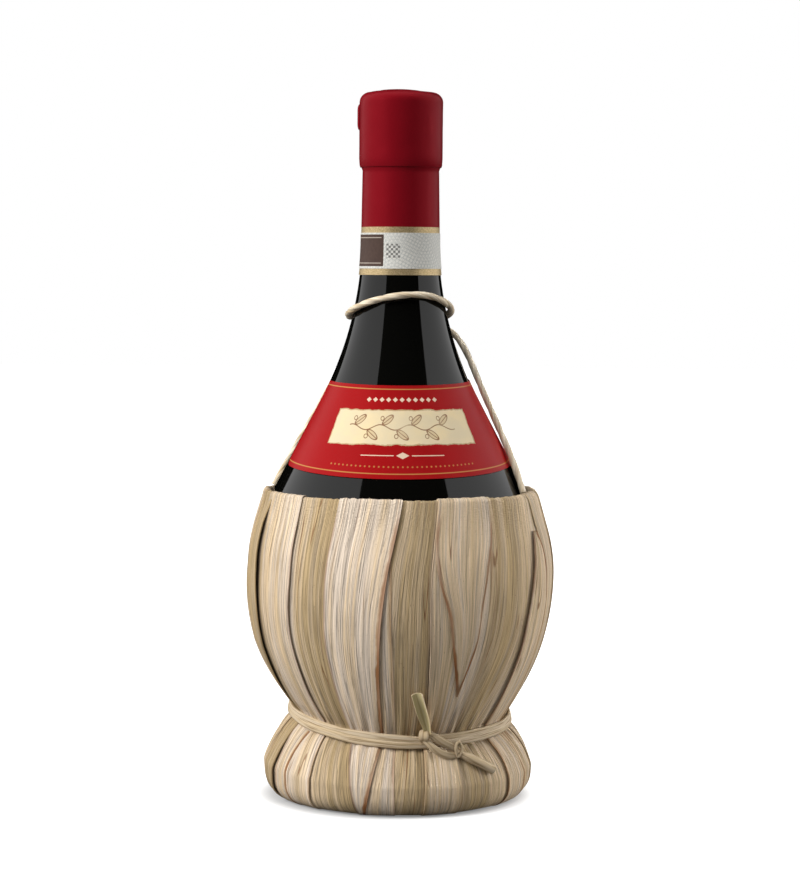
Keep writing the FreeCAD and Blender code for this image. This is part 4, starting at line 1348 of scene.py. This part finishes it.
class FLASK_OT_glass(bpy.types.Operator):
    """Glass flask with its mouth ring and bore"""

    bl_idname = "flask.glass"
    bl_label = "Glass flask"

    def execute(self, context):
        inner = flask_wall(GLASS_WALL)[::-1]
        bore_edge = 0.0008
        outline = [
            *FLASK_LINE,
            (BORE_RADIUS + bore_edge, MOUTH_HEIGHT),
            (BORE_RADIUS, MOUTH_HEIGHT - bore_edge),
            (BORE_RADIUS, BORE_FOOT),
            *inner,
        ]
        piece = spun("glass_wall", outline, steps=192)
        glass = glass_finish(context.scene.flask_body)
        finished(piece, glass, nodes=["glass_flask"], smooth=50.0)
        return {"FINISHED"}


class FLASK_OT_cork(bpy.types.Operator):
    """Cork in the bore"""

    bl_idname = "flask.cork"
    bl_label = "Cork"

    def execute(self, context):
        low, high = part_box("cork_stopper")
        radius = (high.x - low.x) / 2
        edge = 0.0008
        outline = [
            (0.0, low.z), (radius - edge, low.z), (radius, low.z + edge),
            *[(radius, level) for level in np.linspace(low.z + 0.003, high.z - 0.003, 12)],
            (radius, high.z - edge), (radius - edge, high.z), (0.0, high.z),
        ]
        piece = spun("cork", outline, steps=72)
        for corner in piece.data.vertices:
            pit = max(noise.noise(corner.co * 260.0), 0.0)
            corner.co.x *= 1.0 - 0.012 * pit
            corner.co.y *= 1.0 - 0.012 * pit
        finished(piece, cork_finish(context.scene.flask_body), body="cork", nodes=["cork_stopper"])
        return {"FINISHED"}


class FLASK_OT_capsule(bpy.types.Operator):
    """Capsule: cap, domed disc, tear tab and skirt"""

    bl_idname = "flask.capsule"
    bl_label = "Capsule"

    def execute(self, context):
        sizes = context.scene.flask_body
        film = film_finish(sizes)
        pieces = {
            "capsule_cap": self.cap(),
            "capsule_top_disc": self.disc(),
            "capsule_tear_tab": self.tab(),
        }
        for node, piece in pieces.items():
            self.wave(piece, sizes.film_wave)
            finished(piece, film, body="capsule_top", nodes=[node], smooth=60.0)
        skirt = self.skirt()
        finished(skirt, film, nodes=["capsule_skirt"], smooth=60.0)
        return {"FINISHED"}

    def wave(self, piece, depth):
        """Shallow waves of the shrunk film, the same for each piece where they meet."""
        for corner in piece.data.vertices:
            away = Vector((corner.co.x, corner.co.y, 0.0))
            push = noise.noise(corner.co * 85.0) + 0.5 * noise.noise(corner.co * 210.0)
            corner.co += away.normalized() * depth * push
            corner.co.z += 0.6 * depth * push * (corner.co.z > LIP_FOOT)

    def cap(self):
        ring, ring_foot = MOUTH_RING
        outer, foot = ring + 0.0003, 0.01485
        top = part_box("capsule_cap")[1].z - 0.00045
        edge = (outer - LIP_ROUND, top - LIP_ROUND)
        outside = [
            (foot, ring_foot - 0.0022),
            (0.01510, ring_foot - 0.0014),
            (outer, ring_foot + 0.0010),
            *[(outer, level) for level in np.linspace(ring_foot + 0.003, edge[1] - 0.001, 14)],
            *arc(edge, LIP_ROUND, 0.0, 90.0, 14),
            (CAP_OPENING, top),
        ]
        inside = [
            (CAP_OPENING, top - FILM_THICKNESS),
            *arc(edge, LIP_ROUND - FILM_THICKNESS, 90.0, 0.0, 10),
            (outer - FILM_THICKNESS, ring_foot + 0.0010),
            (foot - FILM_THICKNESS, ring_foot - 0.0022),
        ]
        return spun("cap_film", [*outside, *inside, outside[0]], steps=128)

    def disc(self):
        """The loose domed disc, higher at the left and creased round its edge."""
        low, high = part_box("capsule_top_disc")
        radius = (high.x - low.x) / 2
        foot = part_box("capsule_cap")[1].z - 0.0005
        crown = high.z - 0.00085 - foot
        line = [(radius * share, foot + crown * (1 - share**2.0)) for share in np.linspace(1.0, 0.0, 22)]
        film = 0.0002
        under = [(r * 0.99, z - film) for r, z in line[::-1]]
        piece = spun("domed_disc", [*line, *under[:-1], line[0]], steps=96)
        for corner in piece.data.vertices:
            reach = math.hypot(corner.co.x, corner.co.y) / radius
            corner.co.z -= 0.00012 * math.exp(-(((reach - 0.72) / 0.10) ** 2))
            corner.co.z -= 0.075 * corner.co.x * reach * (1.0 - reach)
        return piece

    def tab(self):
        low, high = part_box("capsule_tear_tab")
        half = math.degrees(math.asin((high.y - low.y) / 2 / -low.x))
        inner = MOUTH_RING[0] + 0.0005

        def shape(across, up):
            raised = (1 - abs(2 * across - 1) ** 5) * (1 - abs(2 * up - 1) ** 6)
            turn = -87.0 + half * (2 * across - 1)
            return place(inner + 0.00055 * raised, turn, low.z + (high.z - low.z) * up)

        piece = shaped_grid("tear_tab", 28, 36, shape)
        modified(piece, "SOLIDIFY", thickness=0.0002, offset=-1.0)
        return piece

    def skirt(self):
        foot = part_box("capsule_skirt")[0].z
        levels = [*np.linspace(foot, NECK_TOP[1] - 0.001, 60), NECK_TOP[1], MOUTH_RING[1] - 0.0012]
        return sleeve("capsule_foot", levels, *SKIRT_STANDOFF)


class FLASK_OT_papers(bpy.types.Operator):
    """Seal strip round the capsule's foot and label on the shoulder"""

    bl_idname = "flask.papers"
    bl_label = "Seal strip and label"

    def execute(self, context):
        sizes = context.scene.flask_paper
        finished(self.seal(), seal_finish(sizes), nodes=["seal_strip"], smooth=60.0)
        finished(self.label(), label_finish(sizes), nodes=["shoulder_label"], smooth=60.0)
        return {"FINISHED"}

    def seal(self):
        low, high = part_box("seal_strip")
        return sleeve("seal_paper_strip", np.linspace(low.z, high.z, 20), *SEAL_STANDOFF)

    def label(self):
        left, right = LABEL_TURNS
        foot_radius = 0.043

        def shape(across, up):
            turn = left + (right - left) * across
            cosine = math.cos(math.radians(turn))
            low, high = label_edge(LABEL_FOOT, cosine), label_edge(LABEL_TOP, cosine)
            to_round = LABEL_CORNER - math.radians(min(turn - left, right - turn)) * foot_radius
            if to_round > 0.0:
                low += LABEL_CORNER - math.sqrt(LABEL_CORNER**2 - to_round**2)
            height = low + (high - low) * up
            return place(flask_radius(height) + LABEL_STANDOFF, turn, height)

        piece = shaped_grid("label_paper_sheet", 180, 40, shape)
        modified(piece, "SOLIDIFY", thickness=PAPER_THICKNESS, offset=-1.0)
        return piece


class FLASK_OT_covering(bpy.types.Operator):
    """Leaf strips in two layers, with the tongues that lie over them"""

    bl_idname = "flask.covering"
    bl_label = "Leaf covering"

    def execute(self, context):
        covering = Covering(context.scene.flask_leaf, context.scene.flask_cord)
        leaf = leaf_finish(context.scene.flask_leaf)
        for number in range(1, STRIP_COUNT + 1):
            piece = covering.numbered_strip(number)
            finished(piece, leaf, nodes=[f"leaf_{number:02d}"], smooth=50.0)
        for count, (name, form) in enumerate(TONGUES.items()):
            piece = covering.tongue(name, form, 31 + count)
            finished(piece, leaf, smooth=50.0)
        return {"FINISHED"}


class FLASK_OT_inside(bpy.types.Operator):
    """Binding cord in the rim and straw foot ring"""

    bl_idname = "flask.inside"
    bl_label = "Rim binding and foot ring"

    def execute(self, context):
        cord = context.scene.flask_cord
        finished(
            self.binding(), twisted_finish(cord, cord.leaf, 0.7),
            nodes=["rim_binding_cord"], smooth=60.0,
        )
        finished(
            self.foot_ring(), straw_finish(context.scene.flask_leaf),
            nodes=["straw_foot_ring"], smooth=60.0,
        )
        return {"FINISHED"}

    def binding(self):
        """Two strands laid round each other along the rim."""
        line = [place(RIM_CENTRE[0], turn, RIM_CENTRE[1]) for turn in np.linspace(0.0, 359.5, 360)]
        strand = 0.00045

        def section(turn, along, total):
            twist = along / 0.0011
            reach = strand * (0.72 + 0.28 * abs(math.cos(turn - twist)))
            return reach * math.cos(turn), reach * math.sin(turn)

        return swept("rim_cord", line, 0.0006, 10, section)

    def foot_ring(self):
        """A ring of straw wound round with more straw."""
        low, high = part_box("straw_foot_ring")
        bore, face, inset = 0.02753, 0.03553, 0.0015
        corner = arc((FOOT_RADIUS - FOOT_ROUND, FOOT_ROUND), FOOT_ROUND - inset, -90.0, 0.0, 10)
        flare_axis = FOOT_RADIUS - FOOT_FLARE
        top_turn = math.degrees(math.asin((high.z - FOOT_ROUND) / (FOOT_FLARE - inset)))
        flare = arc((flare_axis, FOOT_ROUND), FOOT_FLARE - inset, 0.0, top_turn, 14)
        seat_radius = flare[-1][0] - 0.0064
        seat_centre, seat_round = 0.06834, 0.05059
        seat = [
            (radius, seat_centre - math.sqrt(seat_round**2 - radius**2))
            for radius in np.linspace(seat_radius, bore, 10)
        ]
        outline = [
            (bore, 0.0), (face, 0.0), (face, inset), *corner, *flare[1:], *seat,
            *[(bore, level) for level in np.linspace(seat[-1][1], 0.0, 12)[1:]],
        ]
        piece = spun("foot_ring_straw", outline, steps=360)
        for point in piece.data.vertices:
            turn = math.atan2(point.co.x, -point.co.y)
            ridge = abs(math.sin(36.0 * turn + 180.0 * point.co.z)) * min(point.co.z / 0.004, 1.0)
            scale = 1.0 - 0.012 * (1.0 - ridge) * min(point.co.z / 0.002, 1.0)
            if math.hypot(point.co.x, point.co.y) < bore + 0.0005:
                scale = 2.0 - scale
            point.co.x *= scale
            point.co.y *= scale
            drop = min(tie_shift(math.degrees(turn), bpy.context.scene.flask_cord), 0.0)
            point.co.z += drop * min(point.co.z / WAIST_HEIGHT, 1.0)
        return piece


class FLASK_OT_tie(bpy.types.Operator):
    """Waist tie: two turns, the knot and its two tails"""

    bl_idname = "flask.tie"
    bl_label = "Waist tie"

    def execute(self, context):
        sizes = context.scene.flask_cord
        pieces = [self.turns(sizes), self.upper_tail(), self.lower_tail()]
        for name, form in KNOT_STRANDS.items():
            pieces.append(self.strand(name, form))
        choose(pieces[0])
        for piece in pieces[1:]:
            piece.select_set(True)
        bpy.ops.object.join()
        finish = twisted_finish(sizes, sizes.leaf, 0.9)
        finished(pieces[0], finish, nodes=["waist_tie"], smooth=60.0)
        return {"FINISHED"}

    def turns(self, sizes):
        """Two turns of flat leaf, one above the other, that cross behind the knot."""
        line = []
        start = 16.0
        for turn in np.linspace(0.0, 720.0, 361):
            crossing = 1.0 / (1.0 + math.exp((turn - 360.0) / 9.0))
            where = start + turn
            apart = 0.75 + 0.5 * math.exp(-((((where + 180.0) % 360.0 - 185.0) / 42.0) ** 2))
            level = 0.00105 * apart * (2.0 * crossing - 1.0) + 0.00025 * rough(turn * 0.05, 2.0, 0.0)
            out = 0.0009 + 0.0003 * (1.0 - crossing) + 0.00015 * math.sin(math.radians(3.0 * turn))
            out += fullness(where, WAIST_HEIGHT)
            line.append(place(WAIST_RADIUS + out, where, WAIST_HEIGHT + tie_shift(where, sizes) + level))

        def section(turn, along, total):
            roll = 0.35 * rough(along * 24.0, 1.0, 0.0)
            width = sizes.ply_width * (1.0 + 0.16 * rough(along * 40.0, 8.0, 0.0))
            return self.flat(turn, roll, width, sizes.ply_depth)

        return swept("waist_tie_turns", line, 0.0009, 20, section)

    def flat(self, turn, roll, width, depth):
        """A flat oval with a groove along its faces, rolled about its path."""
        aside = width / 2 * math.sin(turn)
        out = depth / 2 * math.cos(turn) * (1.0 - 0.25 * math.exp(-((math.sin(turn) / 0.25) ** 2)))
        return out * math.cos(roll) - aside * math.sin(roll), out * math.sin(roll) + aside * math.cos(roll)

    def strand(self, name, form):
        """One strand of the knot."""

        def section(turn, along, total):
            narrow = 1.0 - 0.25 * math.cos(math.pi * along / total) ** 2
            return self.flat(turn, 0.2 * rough(along * 90.0, 3.0, 0.0), form["width"] * narrow, form["depth"])

        return swept(name, smooth_line(form["route"]), 0.0004, 18, section, facing=form["facing"])

    def upper_tail(self):
        """A tail folded into a trough that opens to the front."""

        def section(turn, along, total):
            spread = min(1.0, 0.55 + 0.9 * along / total)
            share = turn / math.pi
            outer = share < 1.0
            angle = math.radians(92.0 - 184.0 * share if outer else -92.0 + 184.0 * (share - 1.0))
            reach = (0.00200 if outer else 0.00160) * spread
            return 0.0006 - reach * math.cos(angle), reach * math.sin(angle) * 1.12

        return swept(
            "upper_tail", smooth_line(UPPER_TAIL_ROUTE), 0.0005, 28, section, facing=(-0.35, -1.0, 0.1),
            shade=lambda turn: 0.0 if turn < math.pi else 0.6,
        )

    def lower_tail(self):
        """A tail rolled into a tube with an open end."""

        def section(turn, along, total):
            reach = 0.00172 * (0.66 + 0.34 * risen(along, 0.0, 0.4 * total))
            seam = 1.0 - 0.12 * math.exp(-(((turn - 2.2) / 0.25) ** 2))
            return reach * seam * math.cos(turn) * 0.92, reach * seam * math.sin(turn)

        piece = swept("lower_tail", smooth_line(LOWER_TAIL_ROUTE), 0.0005, 24, section)
        choose(piece)
        bpy.ops.object.mode_set(mode="EDIT")
        bpy.ops.mesh.select_all(action="DESELECT")
        bpy.ops.object.mode_set(mode="OBJECT")
        piece.data.polygons[-1].select = True
        bpy.ops.object.mode_set(mode="EDIT")
        bpy.ops.mesh.select_mode(type="FACE")
        bpy.ops.mesh.inset(thickness=0.00045)
        bpy.ops.mesh.extrude_region_shrink_fatten(TRANSFORM_OT_shrink_fatten={"value": -0.003})
        bpy.ops.mesh.select_mode(type="VERT")
        bpy.ops.object.mode_set(mode="OBJECT")
        return piece


class FLASK_PT_panel(bpy.types.Panel):
    """Lists the pieces that can be made"""

    bl_idname = "FLASK_PT_panel"
    bl_label = "Straw-covered flask"
    bl_space_type = "VIEW_3D"
    bl_region_type = "UI"
    bl_category = "Flask"

    def draw(self, context):
        for operator in OPERATORS:
            self.layout.operator(operator.bl_idname)


SETTINGS = {
    "flask_stage": StageSettings,
    "flask_body": FlaskSettings,
    "flask_paper": PaperSettings,
    "flask_leaf": LeafSettings,
    "flask_cord": CordSettings,
}
OPERATORS = (
    FLASK_OT_stage,
    FLASK_OT_cord,
    FLASK_OT_glass,
    FLASK_OT_cork,
    FLASK_OT_capsule,
    FLASK_OT_papers,
    FLASK_OT_covering,
    FLASK_OT_inside,
    FLASK_OT_tie,
)


def register():
    for group in (*SETTINGS.values(), *OPERATORS, FLASK_PT_panel):
        bpy.utils.register_class(group)
    for name, group in SETTINGS.items():
        setattr(bpy.types.Scene, name, PointerProperty(type=group))


def unregister():
    for name in SETTINGS:
        delattr(bpy.types.Scene, name)
    for group in (FLASK_PT_panel, *reversed(OPERATORS), *SETTINGS.values()):
        bpy.utils.unregister_class(group)


def main():
    register()
    bpy.ops.flask.stage()
    bpy.ops.flask.carrying_cord()
    bpy.ops.flask.glass()
    bpy.ops.flask.cork()
    bpy.ops.flask.capsule()
    bpy.ops.flask.papers()
    bpy.ops.flask.covering()
    bpy.ops.flask.inside()
    bpy.ops.flask.tie()


if __name__ == "__main__":
    main()
